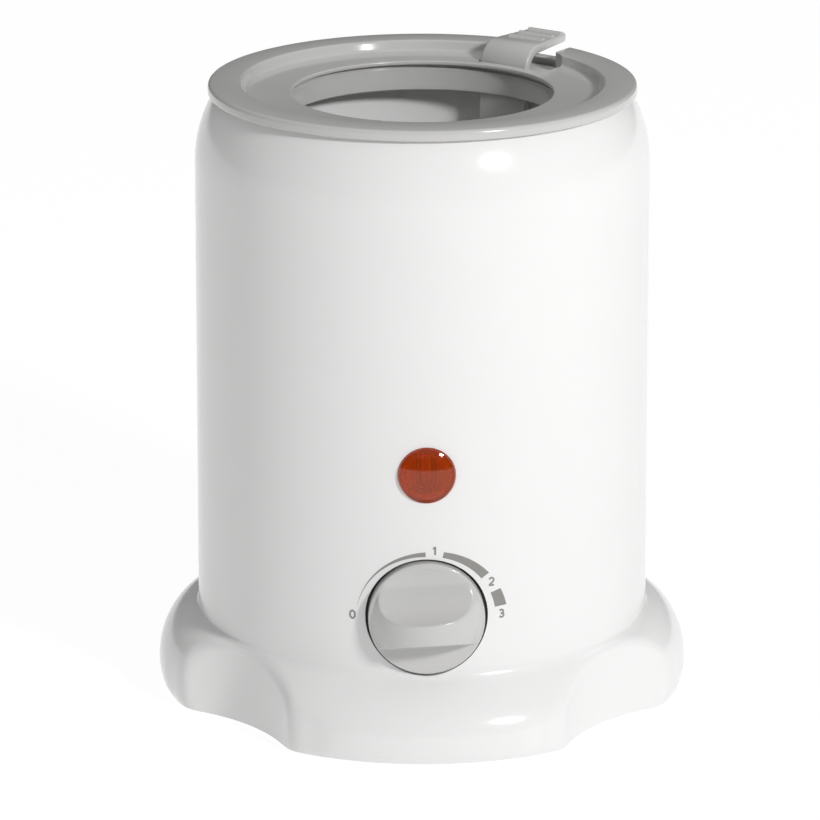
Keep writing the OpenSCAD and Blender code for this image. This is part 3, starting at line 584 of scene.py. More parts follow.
shell = mesh_object("body_shell", *skin(shell_rows()))
FAR = SKIRT_R + 20
NEAR = 40
LAMP_HOLE_R = LENS_R + 0.1
knob_cut = [(0, NEAR), (BUSH_R, NEAR), (BUSH_R, POCKET_FLOOR)]
knob_cut += [(POCKET_R, POCKET_FLOOR), (POCKET_R, FAR), (0, FAR)]
lamp_cut = [(0, NEAR), (LAMP_HOLE_R, NEAR), (LAMP_HOLE_R, FAR), (0, FAR)]
gland_cut = [(0, -NEAR), (GLAND_HOLE_R, -NEAR), (GLAND_HOLE_R, -FAR), (0, -FAR)]
cutter = merged(
    "shell_cutter",
    turned("knob_cut", knob_cut, 128, facing_front(KNOB_Z)),
    turned("lamp_cut", lamp_cut, 96, facing_front(LAMP_Z)),
    turned("gland_cut", gland_cut, 64, facing_front(GLAND_Z)),
)
combine(shell, cutter)
wear(shell, white_gloss, "housing", ["outer_shell"])

# %% [markdown]
# ## The collar
# The grey collar drops into the shell's mouth. Its rim is rounded, its middle is sunk, and its opening
# has a soft lip with a thin skirt below. It is one outline turned round the axis. The notch for the
# lifter is cut through it, so that only the lip goes on there, with a pocket on the lifter's right.

# %% Sizes of the collar
collar_low, collar_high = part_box("collar_ring")
lifter_low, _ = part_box("bottle_lifter")
COLLAR_R = collar_high.x / MM
RIM_Z = collar_high.z / MM
RIM_SLOPE = 1.0
SUNK_R = COLLAR_R - 9.7
SUNK_Z = RIM_Z - 2.8
SEAT_Z = SUNK_Z - 2.2
EDGE_Z = RIM_Z - 2.7
SEAT_OUT_R = 51.92
HOLE_R = 34.5
BAND_R = HOLE_R + 1.3
BAND_OUT_R = BAND_R + 1.0
BAND_Z = collar_low.z / MM
LIP_Z = SUNK_Z - 1.1
GROOVE_R = BAND_R + 0.55
SLOT_R = 43.7
SPIGOT_R = SLOT_R - 1.2
SPIGOT_Z = SEAT_Z - 4
LIFTER_ANGLE = 36.5
NOTCH_LEFT = 8.0
NOTCH_SLOT = 8.1
NOTCH_RIGHT = 10.1
NOTCH_POCKET = 14.1
NOTCH_R = 36.95
NOTCH_NEAR = NOTCH_R + 0.4
NOTCH_FAR = SUNK_R - 1.2
NOTCH_END = SUNK_R + 0.8
NOTCH_BEYOND = COLLAR_R + 4
NOTCH_EDGE = 0.05
print("collar radius", round(COLLAR_R, 2), "rim at", round(RIM_Z, 2))


# %% Collar
def notch_outline():
    """The notch in plan, as (along the lifter's arm, to its right): a slot with a pocket on its right."""
    slot = [(math.sqrt(NOTCH_R**2 - w**2), w, NOTCH_EDGE) for w in np.linspace(-NOTCH_LEFT, NOTCH_SLOT, 16)]
    pocket = [(NOTCH_NEAR, NOTCH_POCKET, 2.8), (NOTCH_FAR, NOTCH_POCKET, 2.0), (NOTCH_END, NOTCH_RIGHT, 1.0)]
    end = [(NOTCH_BEYOND, NOTCH_RIGHT, NOTCH_EDGE), (NOTCH_BEYOND, -NOTCH_LEFT, NOTCH_EDGE)]
    return rounded(slot + pocket + end)


collar_line = rounded([
    (SEAT_OUT_R, SEAT_Z, 0.3), (SEAT_OUT_R, EDGE_Z, 0.3), (COLLAR_R, EDGE_Z, 0.35), (COLLAR_R, RIM_Z, 1.0),
    (SUNK_R + RIM_SLOPE, RIM_Z, 0.9), (SUNK_R, SUNK_Z, 1.1), (HOLE_R, SUNK_Z, 0.4), (HOLE_R, LIP_Z, 0.3),
    (GROOVE_R, LIP_Z, 0.1), (GROOVE_R, SEAT_Z, 0.1), (BAND_R, SEAT_Z, 0.3), (BAND_R, BAND_Z, 0.35),
    (BAND_OUT_R, BAND_Z, 0.35), (BAND_OUT_R, SEAT_Z, 0.3),
    (SPIGOT_R, SEAT_Z, 0.3), (SPIGOT_R, SPIGOT_Z, 0.35), (SLOT_R, SPIGOT_Z, 0.35), (SLOT_R, SEAT_Z, 0.3),
])
collar = turned("collar", collar_line, 420)
ahead = Vector((math.sin(math.radians(LIFTER_ANGLE)), math.cos(math.radians(LIFTER_ANGLE)), 0))
aside = Vector((ahead.y, -ahead.x, 0))
notch_rows = []
for level in (SPIGOT_Z - 1, RIM_Z + 1):
    lift = Vector((0, 0, level))
    notch_rows.append([ahead * u + aside * v + lift for u, v in notch_outline()])
combine(collar, mesh_object("notch", *skin(notch_rows, ring=False)))
wear(collar, grey_gloss, "housing", ["collar_ring"])

# %% [markdown]
# ## Copies on a ring or in a row
# Feet, slots and pegs repeat round the axis, and grip ridges repeat in a row. Copying them by hand
# would hide the rule, so two small Geometry Nodes trees hold it: one puts a template on a circle of
# points, and the other makes a row of round ridges. Both end by making the copies real.


# %% Node tree helpers
def new_tree(name, inputs):
    """A Geometry Nodes tree with named inputs of (socket type, default) and a geometry output."""
    tree = bpy.data.node_groups.new(name, "GeometryNodeTree")
    tree.interface.new_socket("Geometry", in_out="INPUT", socket_type="NodeSocketGeometry")
    for label, (kind, default) in inputs.items():
        socket = tree.interface.new_socket(label, in_out="INPUT", socket_type=kind)
        if default is not None:
            socket.default_value = default
    tree.interface.new_socket("Geometry", in_out="OUTPUT", socket_type="NodeSocketGeometry")
    return tree, tree.nodes.new("NodeGroupInput"), tree.nodes.new("NodeGroupOutput")


def grown(name, tree, values):
    """A plain mesh object grown by a tree with the given input values."""
    obj = bpy.data.objects.new(name, bpy.data.meshes.new(name))
    scene.collection.objects.link(obj)
    mod = obj.modifiers.new("rule", "NODES")
    mod.node_group = tree
    for item in tree.interface.items_tree:
        if item.in_out == "INPUT" and item.name in values:
            mod[item.identifier] = values[item.name]
    return plain(obj)


def end_tree(tree, geometry, group_in, group_out):
    """Makes copies real, gives them the Finish input and ends the tree."""
    real = tree.nodes.new("GeometryNodeRealizeInstances")
    paint = tree.nodes.new("GeometryNodeSetMaterial")
    tree.links.new(geometry, real.inputs["Geometry"])
    tree.links.new(real.outputs["Geometry"], paint.inputs["Geometry"])
    tree.links.new(group_in.outputs["Finish"], paint.inputs["Material"])
    tree.links.new(paint.outputs["Geometry"], group_out.inputs["Geometry"])


# %% Tree for copies on a ring
ring_tree, ring_in, ring_out = new_tree("copies_on_ring", {
    "Template": ("NodeSocketObject", None),
    "Copies": ("NodeSocketInt", 4),
    "Ring radius": ("NodeSocketFloat", 0.05),
    "First angle": ("NodeSocketFloat", 0.0),
    "Finish": ("NodeSocketMaterial", None),
})
ring_line = ring_tree.nodes.new("GeometryNodeMeshCircle")
ring_spot = ring_tree.nodes.new("GeometryNodeInputPosition")
ring_aim = ring_tree.nodes.new("FunctionNodeAlignRotationToVector")
ring_aim.axis = "X"
ring_aim.pivot_axis = "Z"
ring_copy = ring_tree.nodes.new("GeometryNodeObjectInfo")
ring_set = ring_tree.nodes.new("GeometryNodeInstanceOnPoints")
ring_turn = ring_tree.nodes.new("ShaderNodeCombineXYZ")
ring_place = ring_tree.nodes.new("GeometryNodeTransform")
ring_link = ring_tree.links.new
ring_link(ring_in.outputs["Copies"], ring_line.inputs["Vertices"])
ring_link(ring_in.outputs["Ring radius"], ring_line.inputs["Radius"])
ring_link(ring_spot.outputs["Position"], ring_aim.inputs["Vector"])
ring_link(ring_in.outputs["Template"], ring_copy.inputs["Object"])
ring_link(ring_line.outputs["Mesh"], ring_set.inputs["Points"])
ring_link(ring_copy.outputs["Geometry"], ring_set.inputs["Instance"])
ring_link(ring_aim.outputs["Rotation"], ring_set.inputs["Rotation"])
ring_link(ring_in.outputs["First angle"], ring_turn.inputs["Z"])
ring_link(ring_set.outputs["Instances"], ring_place.inputs["Geometry"])
ring_link(ring_turn.outputs["Vector"], ring_place.inputs["Rotation"])
end_tree(ring_tree, ring_place.outputs["Geometry"], ring_in, ring_out)


def on_ring(name, template, copies, radius, first, material):
    """Copies of a template on a ring of a radius in millimetres, its X axis pointing outwards."""
    values = {
        "Template": template, "Copies": copies, "Ring radius": radius * MM,
        "First angle": math.radians(first), "Finish": material,
    }
    obj = grown(name, ring_tree, values)
    drop(template)
    return obj


print("tree", ring_tree.name, "has", len(ring_tree.nodes), "nodes")

# %% Tree for a row of ridges
row_tree, row_in, row_out = new_tree("row_of_ridges", {
    "Count": ("NodeSocketInt", 3),
    "Spacing": ("NodeSocketFloat", 0.005),
    "Length": ("NodeSocketFloat", 0.01),
    "Ridge radius": ("NodeSocketFloat", 0.001),
    "Finish": ("NodeSocketMaterial", None),
})
row_step = row_tree.nodes.new("ShaderNodeCombineXYZ")
row_line = row_tree.nodes.new("GeometryNodeMeshLine")
ridge_far = row_tree.nodes.new("ShaderNodeCombineXYZ")
ridge_half = row_tree.nodes.new("ShaderNodeMath")
ridge_half.operation = "MULTIPLY"
ridge_half.inputs[1].default_value = 0.5
ridge_near = row_tree.nodes.new("ShaderNodeVectorMath")
ridge_near.operation = "SCALE"
ridge_near.inputs["Scale"].default_value = -1
ridge_line = row_tree.nodes.new("GeometryNodeCurvePrimitiveLine")
ridge_round = row_tree.nodes.new("GeometryNodeCurvePrimitiveCircle")
ridge_round.inputs["Resolution"].default_value = 24
ridge_body = row_tree.nodes.new("GeometryNodeCurveToMesh")
ridge_body.inputs["Fill Caps"].default_value = True
row_set = row_tree.nodes.new("GeometryNodeInstanceOnPoints")
row_link = row_tree.links.new
row_link(row_in.outputs["Spacing"], row_step.inputs["X"])
row_link(row_in.outputs["Count"], row_line.inputs["Count"])
row_link(row_step.outputs["Vector"], row_line.inputs["Offset"])
row_link(row_in.outputs["Length"], ridge_half.inputs[0])
row_link(ridge_half.outputs[0], ridge_far.inputs["Y"])
row_link(ridge_far.outputs["Vector"], ridge_near.inputs[0])
row_link(ridge_near.outputs["Vector"], ridge_line.inputs["Start"])
row_link(ridge_far.outputs["Vector"], ridge_line.inputs["End"])
row_link(row_in.outputs["Ridge radius"], ridge_round.inputs["Radius"])
row_link(ridge_line.outputs["Curve"], ridge_body.inputs["Curve"])
row_link(ridge_round.outputs["Curve"], ridge_body.inputs["Profile Curve"])
row_link(row_line.outputs["Mesh"], row_set.inputs["Points"])
row_link(ridge_body.outputs["Mesh"], row_set.inputs["Instance"])
end_tree(row_tree, row_set.outputs["Instances"], row_in, row_out)
print("tree", row_tree.name, "has", len(row_tree.nodes), "nodes")

# %% [markdown]
# ## The lifter
# The lifter is one grey moulding: a slotted platform that carries the bottle, a strap that climbs the
# well's wall, and a tab that bends over the collar and is pulled up by hand. The strap is a rounded
# section carried along a path in the plane of the notch. It narrows towards the tip, and its last
# steps are drawn in to round the end.

# %% Sizes of the lifter
STRAP_R = 37.1
STRAP_T = 2.4
STRAP_W = 15.2
TIP_W = 11.6
BEND_R = 7.0
TAB_Z = RIM_Z + 2.5
TIP_R = COLLAR_R + 3.6
PLATFORM_R = HOLE_R - 1.0
PLATFORM_Z = 57.8
PLATFORM_T = 2.0
PEG_Z = lifter_low.z / MM
SECTION_ROUND = 0.7
TIP_ROUND = 1.6
FOOT_BEND = 3.0


# %% Strap and tab
def strap_path():
    """The strap's middle line as (distance from the axis, height, direction in degrees)."""
    middle = STRAP_R + STRAP_T / 2
    low = PLATFORM_Z + PLATFORM_T / 2
    path = [(PLATFORM_R - 6, low, 0)]
    for a in np.linspace(0, 90, 9):
        t = math.radians(a)
        path.append((middle - FOOT_BEND + FOOT_BEND * math.sin(t), low + FOOT_BEND * (1 - math.cos(t)), a))
    bend = BEND_R - STRAP_T / 2
    for z in np.linspace(low + 10, TAB_Z - BEND_R - 2, 9):
        path.append((middle, z, 90))
    for a in np.linspace(90, 0, 17):
        t = math.radians(a)
        path.append((STRAP_R + BEND_R - bend * math.sin(t), TAB_Z - BEND_R + bend * math.cos(t), a))
    start = STRAP_R + BEND_R
    for r in np.linspace(start, TIP_R - TIP_ROUND, 8)[1:]:
        path.append((r, TAB_Z - STRAP_T / 2, 0))
    for t in np.radians(np.linspace(10, 90, 9)):
        path.append((TIP_R - TIP_ROUND * (1 - math.sin(t)), TAB_Z - STRAP_T / 2, 0))
    return path


def strap_rows():
    """Rounded sections along the strap, narrowing and drawn in towards the tip."""
    rows = []
    for r, z, lean in strap_path():
        taper = max(0.0, (r - STRAP_R - BEND_R) / (TIP_R - STRAP_R - BEND_R))
        width = STRAP_W + (TIP_W - STRAP_W) * taper
        thick = STRAP_T
        to_tip = max(TIP_R - r, 0)
        if to_tip < TIP_ROUND:
            width -= 2 * (TIP_ROUND - math.sqrt(TIP_ROUND**2 - (TIP_ROUND - to_tip) ** 2))
        if to_tip < SECTION_ROUND:
            thick -= 2 * (SECTION_ROUND - math.sqrt(SECTION_ROUND**2 - (SECTION_ROUND - to_tip) ** 2))
        soft = min(SECTION_ROUND, thick / 2 - 0.05)
        w = width / 2
        h = thick / 2
        section = rounded([(-w, -h, soft), (w, -h, soft), (w, h, soft), (-w, h, soft)], 4)
        t = math.radians(lean)
        rows.append([(r - v * math.sin(t), -u, z + v * math.cos(t)) for u, v in section])
    return rows


to_notch = Matrix.Rotation(math.radians(90 - LIFTER_ANGLE), 4, "Z")
strap = mesh_object("strap", *skin(strap_rows(), ring=False), to_notch)
RIDGE_R = 1.3
RIDGE_H = 0.5
RIDGE_PITCH = 4.6
RIDGE_FIRST = TIP_R - 2
ridges = grown("ridges", row_tree, {
    "Count": 3, "Spacing": -RIDGE_PITCH * MM, "Length": (TIP_W - 0.8) * MM, "Ridge radius": RIDGE_R * MM,
    "Finish": grey_gloss,
})
ridge_place = Matrix.Translation((RIDGE_FIRST * MM, 0, (TAB_Z + RIDGE_H - RIDGE_R) * MM))
ridges.data.transform(to_notch @ ridge_place)
print("strap path has", len(strap_path()), "stations")

# %% Platform
SLOT_COUNT = 8
SLOT_LENGTH = 16
SLOT_WIDTH = 4
SLOT_ROUND = 1.9
SLOT_FROM = PLATFORM_R / 3
platform = turned("platform", rounded([
    (0, PLATFORM_Z, 0), (PLATFORM_R, PLATFORM_Z, 0.5), (PLATFORM_R, PLATFORM_Z + PLATFORM_T, 0.6),
    (0, PLATFORM_Z + PLATFORM_T, 0),
]), 128)
half_w = SLOT_WIDTH / 2
half_l = SLOT_LENGTH / 2
slot_corners = ((-half_l, -half_w), (half_l, -half_w), (half_l, half_w), (-half_l, half_w))
slot_line = rounded([(x, y, SLOT_ROUND) for x, y in slot_corners])
slot_rows = [[(x, y, z) for x, y in slot_line] for z in (PLATFORM_Z - 1, PLATFORM_Z + PLATFORM_T + 1)]
slot_cutter = mesh_object("slot_cutter", *skin(slot_rows, ring=False))
first_slot = 90 - LIFTER_ANGLE + 180 / SLOT_COUNT
slots = on_ring("slots", slot_cutter, SLOT_COUNT, SLOT_FROM + half_l, first_slot, grey_gloss)
combine(platform, slots)
PEG_R = 2.0
peg = turned("peg", rounded([
    (0, PEG_Z, 0), (PEG_R, PEG_Z, 0.5), (PEG_R, PLATFORM_Z + 1, 0.1), (0, PLATFORM_Z + 1, 0),
]), 40)
pegs = on_ring("pegs", peg, 3, PLATFORM_R - 4, 90 - LIFTER_ANGLE, grey_gloss)
lifter = merged("lifter", strap, ridges, platform, pegs)
wear(lifter, grey_gloss, "lifter", ["bottle_lifter"])

# %% [markdown]
# ## The knob
# The knob is a disc with a low dome on it. A finger scoop is taken from the dome's upper half, and a
# step cut across its lower half leaves a flat ledge. That is a rule of distances: how far a point lies
# from the disc, the dome, the scoop and the step. A Geometry Nodes tree works out that distance in a
# block of small cells, blends the shapes with a soft minimum and maximum, and skins the result.
# Rounded edges come out of the blend by themselves. A thin black ring at the bottom of the knob's gap is
# painted shade: it makes the gap dark where only shadow falls.

# %% Sizes of the knob
KNOB_FRONT = 61.92
NOSE = -knob_low.y / MM - KNOB_BACK
DISC_T = KNOB_FRONT - KNOB_BACK
DOME_R = 15.6
DOME_ASIDE = 0.5
DOME_UP = NOSE - DOME_R
DOME_EDGE_R = KNOB_R - 0.4
SCOOP_R = 9.3
SCOOP_ASIDE = 10.67
SCOOP_UP = DISC_T - 0.3 + SCOOP_R
SCOOP_CLOSING = 0.22
STEP_ASIDE = -7.5
STEP_UP = DISC_T - 0.2
STEP_LEAN = math.radians(20)
NUT_ROOM_R = 7.9
NUT_ROOM_UP = 2.4
BORE_R = 2.55
BORE_UP = DISC_T + 2.55
DOME_BASE = 1.0
DISC_ROUND = 0.5
DOME_ROUND = 0.5
DOME_BLEND = 1.2
LEDGE_BLEND = 0.2
KNOB_REST = 3.0
CELL = 0.18
MARGIN = 1.0


# %% Tree for the knob
knob_tree, knob_in, knob_out = new_tree("knob_rule", {
    "Disc radius": ("NodeSocketFloat", KNOB_R),
    "Disc depth": ("NodeSocketFloat", DISC_T),
    "Dome radius": ("NodeSocketFloat", DOME_R),
    "Scoop radius": ("NodeSocketFloat", SCOOP_R),
    "Rim rounding": ("NodeSocketFloat", 0.6),
    "Step rounding": ("NodeSocketFloat", 0.15),
    "Finish": ("NodeSocketMaterial", None),
})


def calc(operation, *values):
    """A math node fed by numbers or by other nodes' results."""
    node = knob_tree.nodes.new("ShaderNodeMath")
    node.operation = operation
    for socket, value in zip(node.inputs, values):
        if isinstance(value, bpy.types.NodeSocket):
            knob_tree.links.new(value, socket)
        else:
            socket.default_value = value
    return node.outputs[0]


def far_from(*parts):
    """The length of a vector given by its parts."""
    total = calc("MULTIPLY", parts[0], parts[0])
    for p in parts[1:]:
        total = calc("MULTIPLY_ADD", p, p, total)
    return calc("SQRT", total)


def bored(shape, radius, depth, from_axis, height):
    """A shape's distance after a round hole of a radius and depth is taken out of its back."""
    wall = calc("SUBTRACT", radius, from_axis)
    end = calc("SUBTRACT", depth, height)
    return calc("MAXIMUM", shape, calc("MINIMUM", wall, end))


size = knob_in.outputs
spot = knob_tree.nodes.new("GeometryNodeInputPosition")
split = knob_tree.nodes.new("ShaderNodeSeparateXYZ")
knob_tree.links.new(spot.outputs["Position"], split.inputs["Vector"])
x, y, z = split.outputs
from_axis = far_from(x, y)
side = calc("SUBTRACT", from_axis, size["Disc radius"])
half_t = calc("MULTIPLY", size["Disc depth"], 0.5)
mid = calc("ABSOLUTE", calc("SUBTRACT", z, half_t))
disc = calc("SMOOTH_MAX", side, calc("SUBTRACT", mid, half_t), DISC_ROUND)
dome_y = calc("SUBTRACT", y, DOME_ASIDE)
dome_z = calc("SUBTRACT", z, DOME_UP)
dome = calc("SUBTRACT", far_from(x, dome_y, dome_z), size["Dome radius"])
dome = calc("SMOOTH_MAX", dome, calc("SUBTRACT", from_axis, DOME_EDGE_R), DOME_ROUND)
dome = calc("MAXIMUM", dome, calc("SUBTRACT", DOME_BASE, z))
knob_body = calc("SMOOTH_MIN", disc, dome, DOME_BLEND)
scoop_x = calc("MULTIPLY", x, SCOOP_CLOSING)
scoop_y = calc("SUBTRACT", y, SCOOP_ASIDE)
scoop_z = calc("SUBTRACT", z, SCOOP_UP)
clear = calc("SUBTRACT", size["Scoop radius"], far_from(scoop_x, scoop_y, scoop_z))
knob_body = calc("SMOOTH_MAX", knob_body, clear, size["Rim rounding"])
above_ledge = calc("SUBTRACT", z, STEP_UP)
lean_y = calc("MULTIPLY", calc("SUBTRACT", y, STEP_ASIDE), math.cos(STEP_LEAN))
inside_wall = calc("SUBTRACT", lean_y, calc("MULTIPLY", above_ledge, math.sin(STEP_LEAN)))
step = calc("SMOOTH_MIN", calc("MULTIPLY", inside_wall, -1), above_ledge, LEDGE_BLEND)
knob_body = calc("SMOOTH_MAX", knob_body, step, size["Step rounding"])
knob_body = bored(knob_body, NUT_ROOM_R, NUT_ROOM_UP, from_axis, z)
knob_body = bored(knob_body, BORE_R, BORE_UP, from_axis, z)
print("tree", knob_tree.name, "has", len(knob_tree.nodes), "nodes")

# %% Knob
cells = knob_tree.nodes.new("GeometryNodeVolumeCube")
reach = KNOB_R + MARGIN
cells.inputs["Min"].default_value = (-reach, -reach, -MARGIN)
cells.inputs["Max"].default_value = (reach, reach, NOSE + MARGIN)
cells.inputs["Resolution X"].default_value = round(2 * reach / CELL)
cells.inputs["Resolution Y"].default_value = round(2 * reach / CELL)
cells.inputs["Resolution Z"].default_value = round((NOSE + 2 * MARGIN) / CELL)
cells.inputs["Background"].default_value = -1.0
knob_tree.links.new(calc("MULTIPLY", knob_body, -1), cells.inputs["Density"])
knob_skin = knob_tree.nodes.new("GeometryNodeVolumeToMesh")
knob_skin.inputs["Threshold"].default_value = 0.0
knob_tree.links.new(cells.outputs["Volume"], knob_skin.inputs["Volume"])
end_tree(knob_tree, knob_skin.outputs["Mesh"], knob_in, knob_out)
knob = grown("knob", knob_tree, {"Finish": grey_gloss})
soften = knob.modifiers.new("soften", "SMOOTH")
soften.factor = 0.5
soften.iterations = 2
plain(knob)
knob_turn = Matrix.Rotation(math.radians(KNOB_REST), 4, "Z")
knob_place = facing_front(KNOB_Z) @ Matrix.Translation((0, 0, KNOB_BACK)) @ knob_turn
knob.data.transform(Matrix.Scale(MM, 4) @ knob_place)
wear(knob, grey_gloss, "knob", ["control_knob"], sharp=60.0)

# %% Painted shade: a black ring at the bottom of the knob's gap
# The ring is painted shade, matt black where the real gap is dark only from shadow.
SHADE_RING_T = 0.2
SHADE_RING_IN_R = POCKET_R - 3
SHADE_RING_R = POCKET_R - 0.05
shade_ring_line = [(SHADE_RING_IN_R, POCKET_FLOOR), (SHADE_RING_R, POCKET_FLOOR)]
shade_ring_line += [(r, POCKET_FLOOR + SHADE_RING_T) for r, z in reversed(shade_ring_line)]
shade_ring = turned("knob_washer", shade_ring_line, 96, facing_front(KNOB_Z))
wear(shade_ring, matt_rubber, "housing")

# %% [markdown]
# ## The lamp
# A small amber window shows when the warmer is on. It is a thin clear cap with a crowned face and
# a step inside, and behind it stands a glow lamp with two wires. The cap is turned from one outline
# with a real wall, so that light bends at both faces and the lamp can be seen inside.

# %% Lamp window
LENS_CROWN = 2.2
LENS_WALL = 1.2
LENS_EDGE = 60.74
LENS_SEAT = 56.84
LENS_FLANGE_R = LENS_R + 1.8
LENS_BACK = LENS_SEAT - 1.2
CROWN_R = (LENS_R**2 + LENS_CROWN**2) / (2 * LENS_CROWN)
crown_from = math.degrees(math.asin(LENS_R / CROWN_R))
crown_centre = LENS_EDGE + LENS_CROWN - CROWN_R
lens_line = [(LENS_R - LENS_WALL, LENS_BACK), (LENS_FLANGE_R, LENS_BACK), (LENS_FLANGE_R, LENS_SEAT)]
lens_line += [(LENS_R, LENS_SEAT), (LENS_R, LENS_EDGE - 0.4)]
lens_line += arc((0, crown_centre), CROWN_R, 90 - crown_from + 1.2, 90, 20)
lens_line += arc((0, crown_centre), CROWN_R - LENS_WALL, 90, 90 - crown_from * 0.75, 16)
lens_line += [(LENS_R - 1.9, LENS_EDGE - 0.9), (LENS_R - LENS_WALL, LENS_EDGE - 1.2)]
lens = turned("lamp_window", lens_line, 96, facing_front(LAMP_Z))
wear(lens, amber, "housing", ["lamp_lens"])

# %% [markdown]
# ## The dial
# The dial is printed round the knob: a band that widens as the heat rises, broken by plain numbers.
# Ink has almost no thickness, but a real thin skin on the curved wall keeps its place from every side.

# %% Dial band
INK = 0.05
INK_ROOT = 0.1
DIAL_R = 16.6
DIAL_TOP = 91
DIAL_RIGHT = (1.5, 85, 1.2)
DIAL_LEFT = (1.75, 80, 1.5)
DIAL_WIDE = 3.2
DIAL_THIN = 0.04
DIAL_FROM = 4
DIAL_SPAN = 168
DIAL_TAPER = 1.35


def on_wall(across, up, proud):
    """A point on the front wall, from the distance across it and the height above the knob's axis."""
    z = KNOB_Z + up
    r = wall_out(z)
    a = across / r
    return ((r + proud) * math.sin(a), -(r + proud) * math.cos(a), z)


def band_width(angle):
    return DIAL_WIDE * max(1 - (angle - DIAL_FROM) / DIAL_SPAN, 0.0) ** DIAL_TAPER + DIAL_THIN


def band_inner(angle):
    grow, span, power = DIAL_RIGHT if angle < DIAL_TOP else DIAL_LEFT
    return DIAL_R + grow * (abs(angle - DIAL_TOP) / span) ** power


def band_piece(start, end, steps):
    """A stretch of the band between two angles, as a thin skin on the wall."""
    rows = []
    for angle in np.linspace(start, end, steps):
        t = math.radians(angle)
        near = band_inner(angle)
        far = near + band_width(angle)
        ring = [(near, INK), (far, INK), (far, -INK_ROOT), (near, -INK_ROOT)]
        rows.append([on_wall(r * math.cos(t), r * math.sin(t), proud) for r, proud in ring])
    return mesh_object("band", *skin(rows, ring=False))


BANDS = ((171, 91), (76, 35.2), (19.6, 6.3))
bands = [band_piece(a, b, 36) for a, b in BANDS]

# %% Dial numbers
NUMBER_H = 2.05
STROKE = 0.5
NUMBERS = (("0", -19.5, 0.0), ("1", 2.0, 18.2), ("2", 17.0, 9.0), ("3", 19.8, 0.0))
oval = [(0.33 * math.cos(t), 0.5 * math.sin(t)) for t in np.linspace(0, 2 * math.pi, 28)]
hook = arc((0, 0.21), 0.29, 165, -35, 10)
upper_bow = arc((-0.02, 0.245), 0.255, 150, -80, 10)
lower_bow = arc((0, -0.215), 0.285, 85, -150, 12)
STROKES = {
    "0": [oval],
    "1": [[(0.08, -0.54), (0.08, 0.54)], [(-0.2, 0.28), (-0.02, 0.36), (0.08, 0.52)]],
    "2": [hook + [(-0.3, -0.47)], [(-0.34, -0.47), (0.34, -0.47)]],
    "3": [upper_bow + [(-0.1, 0.03)], lower_bow],
}


def stroke_piece(line, across, up):
    """A pen stroke along a line, as a thin skin on the wall."""
    spots = np.array(line) * NUMBER_H
    ahead = np.gradient(spots, axis=0)
    ahead = ahead / np.linalg.norm(ahead, axis=1, keepdims=True)
    aside = np.stack([-ahead[:, 1], ahead[:, 0]], axis=1) * STROKE / 2
    rows = []
    for spot, width in zip(spots + [across, up], aside):
        edges = (spot + width, spot - width)
        ring = [(edges[0], INK), (edges[1], INK), (edges[1], -INK_ROOT), (edges[0], -INK_ROOT)]
        rows.append([on_wall(e[0], e[1], proud) for e, proud in ring])
    return mesh_object("stroke", *skin(rows, ring=False))


numbers = []
for text, across, up in NUMBERS:
    numbers += [stroke_piece(line, across, up) for line in STROKES[text]]
dial = merged("dial_print", *bands, *numbers)
wear(dial, dial_ink, "housing")

# %% [markdown]
# ## Feet and cord gland
# Below, four rubber feet repeat round the base, so they come from the ring tree with a turned template.
# At the back, a rubber gland with soft edges lines the hole where a cord would leave.

# %% Feet
FOOT_R = 6.0
FOOT_TOP = 1.4
FOOT_RING = 60.0
foot = turned("foot", rounded([
    (0, 0, 0), (FOOT_R - 2.4, 0, 0.3), (FOOT_R - 2.0, 0.25, 0.2), (FOOT_R - 1.5, 0, 0.2), (FOOT_R, 0, 0.4),
    (FOOT_R, FOOT_TOP, 0.1), (0, FOOT_TOP, 0),
], 3), 48)
feet = on_ring("feet", foot, 4, FOOT_RING, 0, matt_rubber)
wear(feet, matt_rubber, "housing", ["rubber_feet"])

# %% Cord gland
gland_low, gland_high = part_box("cord_gland")
GLAND_IN = gland_low.y / MM
GLAND_OUT = gland_high.y / MM
GLAND_R = (gland_high.x - gland_low.x) / 2 / MM
GLAND_T = 2.0
GLAND_BORE_R = 3.4
GLAND_NECK_R = GLAND_HOLE_R - 0.1
gland = turned("gland", rounded([
    (GLAND_BORE_R, -GLAND_IN, 0.3), (GLAND_R, -GLAND_IN, 0.4), (GLAND_R, -GLAND_IN - GLAND_T, 0.3),
    (GLAND_NECK_R, -GLAND_IN - GLAND_T, 0.2), (GLAND_NECK_R, -GLAND_OUT + GLAND_T, 0.2),
    (GLAND_R, -GLAND_OUT + GLAND_T, 0.3), (GLAND_R, -GLAND_OUT, 0.9), (GLAND_BORE_R, -GLAND_OUT, 0.6),
]), 72, facing_front(GLAND_Z))
wear(gland, matt_rubber, "housing", ["cord_gland"])

# %% [markdown]
# ## The pieces inside
# The well, the heater and the wiring keep their engineering shapes. Their meshes are loose triangles,
# so each gets its own finish and a small live tree that merges the points and smooths every edge but
# the sharp ones.

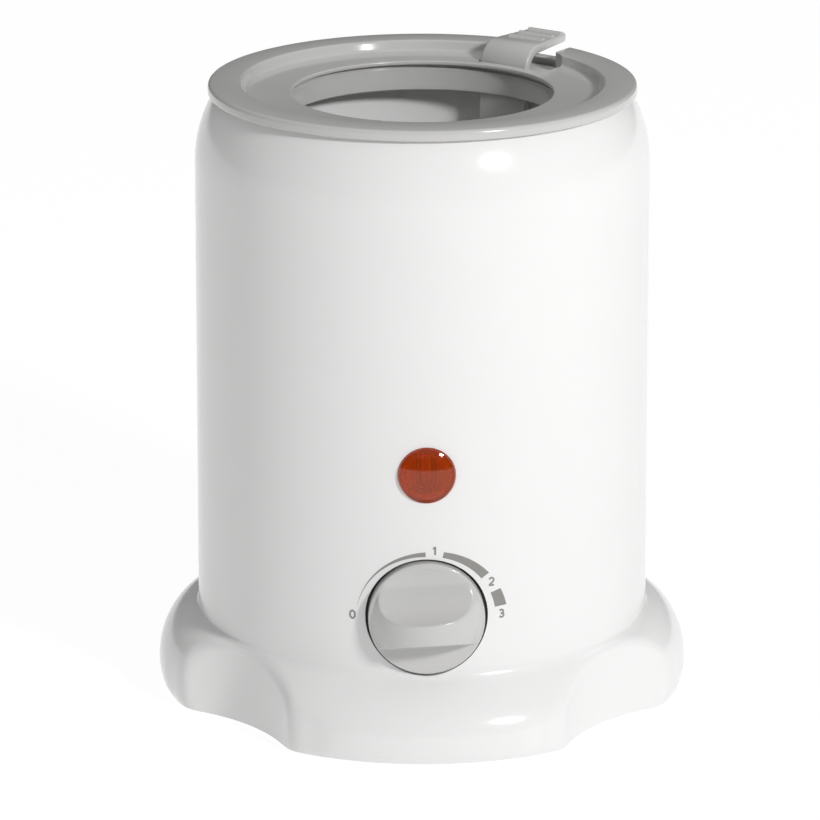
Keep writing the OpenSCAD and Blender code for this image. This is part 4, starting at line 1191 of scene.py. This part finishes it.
# %% Tree for smooth CAD pieces
SHARP_ANGLE = math.radians(32)
smooth_tree, smooth_in, smooth_out = new_tree("smooth_by_angle", {})
weld = smooth_tree.nodes.new("GeometryNodeMergeByDistance")
weld.inputs["Distance"].default_value = 0.001 * MM
faces_smooth = smooth_tree.nodes.new("GeometryNodeSetShadeSmooth")
edges_sharp = smooth_tree.nodes.new("GeometryNodeSetShadeSmooth")
edges_sharp.domain = "EDGE"
edges_sharp.inputs["Shade Smooth"].default_value = False
fold = smooth_tree.nodes.new("GeometryNodeInputMeshEdgeAngle")
is_sharp = smooth_tree.nodes.new("ShaderNodeMath")
is_sharp.operation = "GREATER_THAN"
is_sharp.inputs[1].default_value = SHARP_ANGLE
smooth_link = smooth_tree.links.new
smooth_link(smooth_in.outputs["Geometry"], weld.inputs["Geometry"])
smooth_link(weld.outputs["Geometry"], faces_smooth.inputs["Geometry"])
smooth_link(faces_smooth.outputs["Geometry"], edges_sharp.inputs["Geometry"])
smooth_link(fold.outputs["Unsigned Angle"], is_sharp.inputs[0])
smooth_link(is_sharp.outputs[0], edges_sharp.inputs["Selection"])
smooth_link(edges_sharp.outputs["Geometry"], smooth_out.inputs["Geometry"])

# %% Finishes of the pieces inside
INNER_FINISHES = (
    (white_gloss, ("base_plate", "water_well", "lamp_holder")),
    (matt_rubber, ("well_gasket",)),
    (pressed_metal, ("heater_plate", "heat_bridge", "thermal_fuse")),
    (plated_steel, ("heating_element", "base_screws", "heater_screws", "fuse_clip", "fuse_screw")),
    (plated_steel, ("thermostat_nut", "thermostat_shaft", "lamp_screws", "lamp_electrodes")),
    (cream_resin, ("thermostat_body", "terminal_block")),
    (yellow_brass, ("thermostat_bushing", "thermostat_tabs", "terminal_screws")),
    (bulb_glass, ("glow_lamp",)),
    (sleeve_brown, ("live_wire",)),
    (sleeve_red, ("switched_wire", "fuse_link")),
    (sleeve_blue, ("neutral_wire",)),
    (sleeve_white, ("lamp_leads",)),
)
dressed = 0
for material, names in INNER_FINISHES:
    for name in names:
        node = nodes[name]
        node.data.materials.clear()
        node.data.materials.append(material)
        smoother = node.modifiers.new("smooth", "NODES")
        smoother.node_group = smooth_tree
        dressed += 1
print("pieces inside:", dressed)
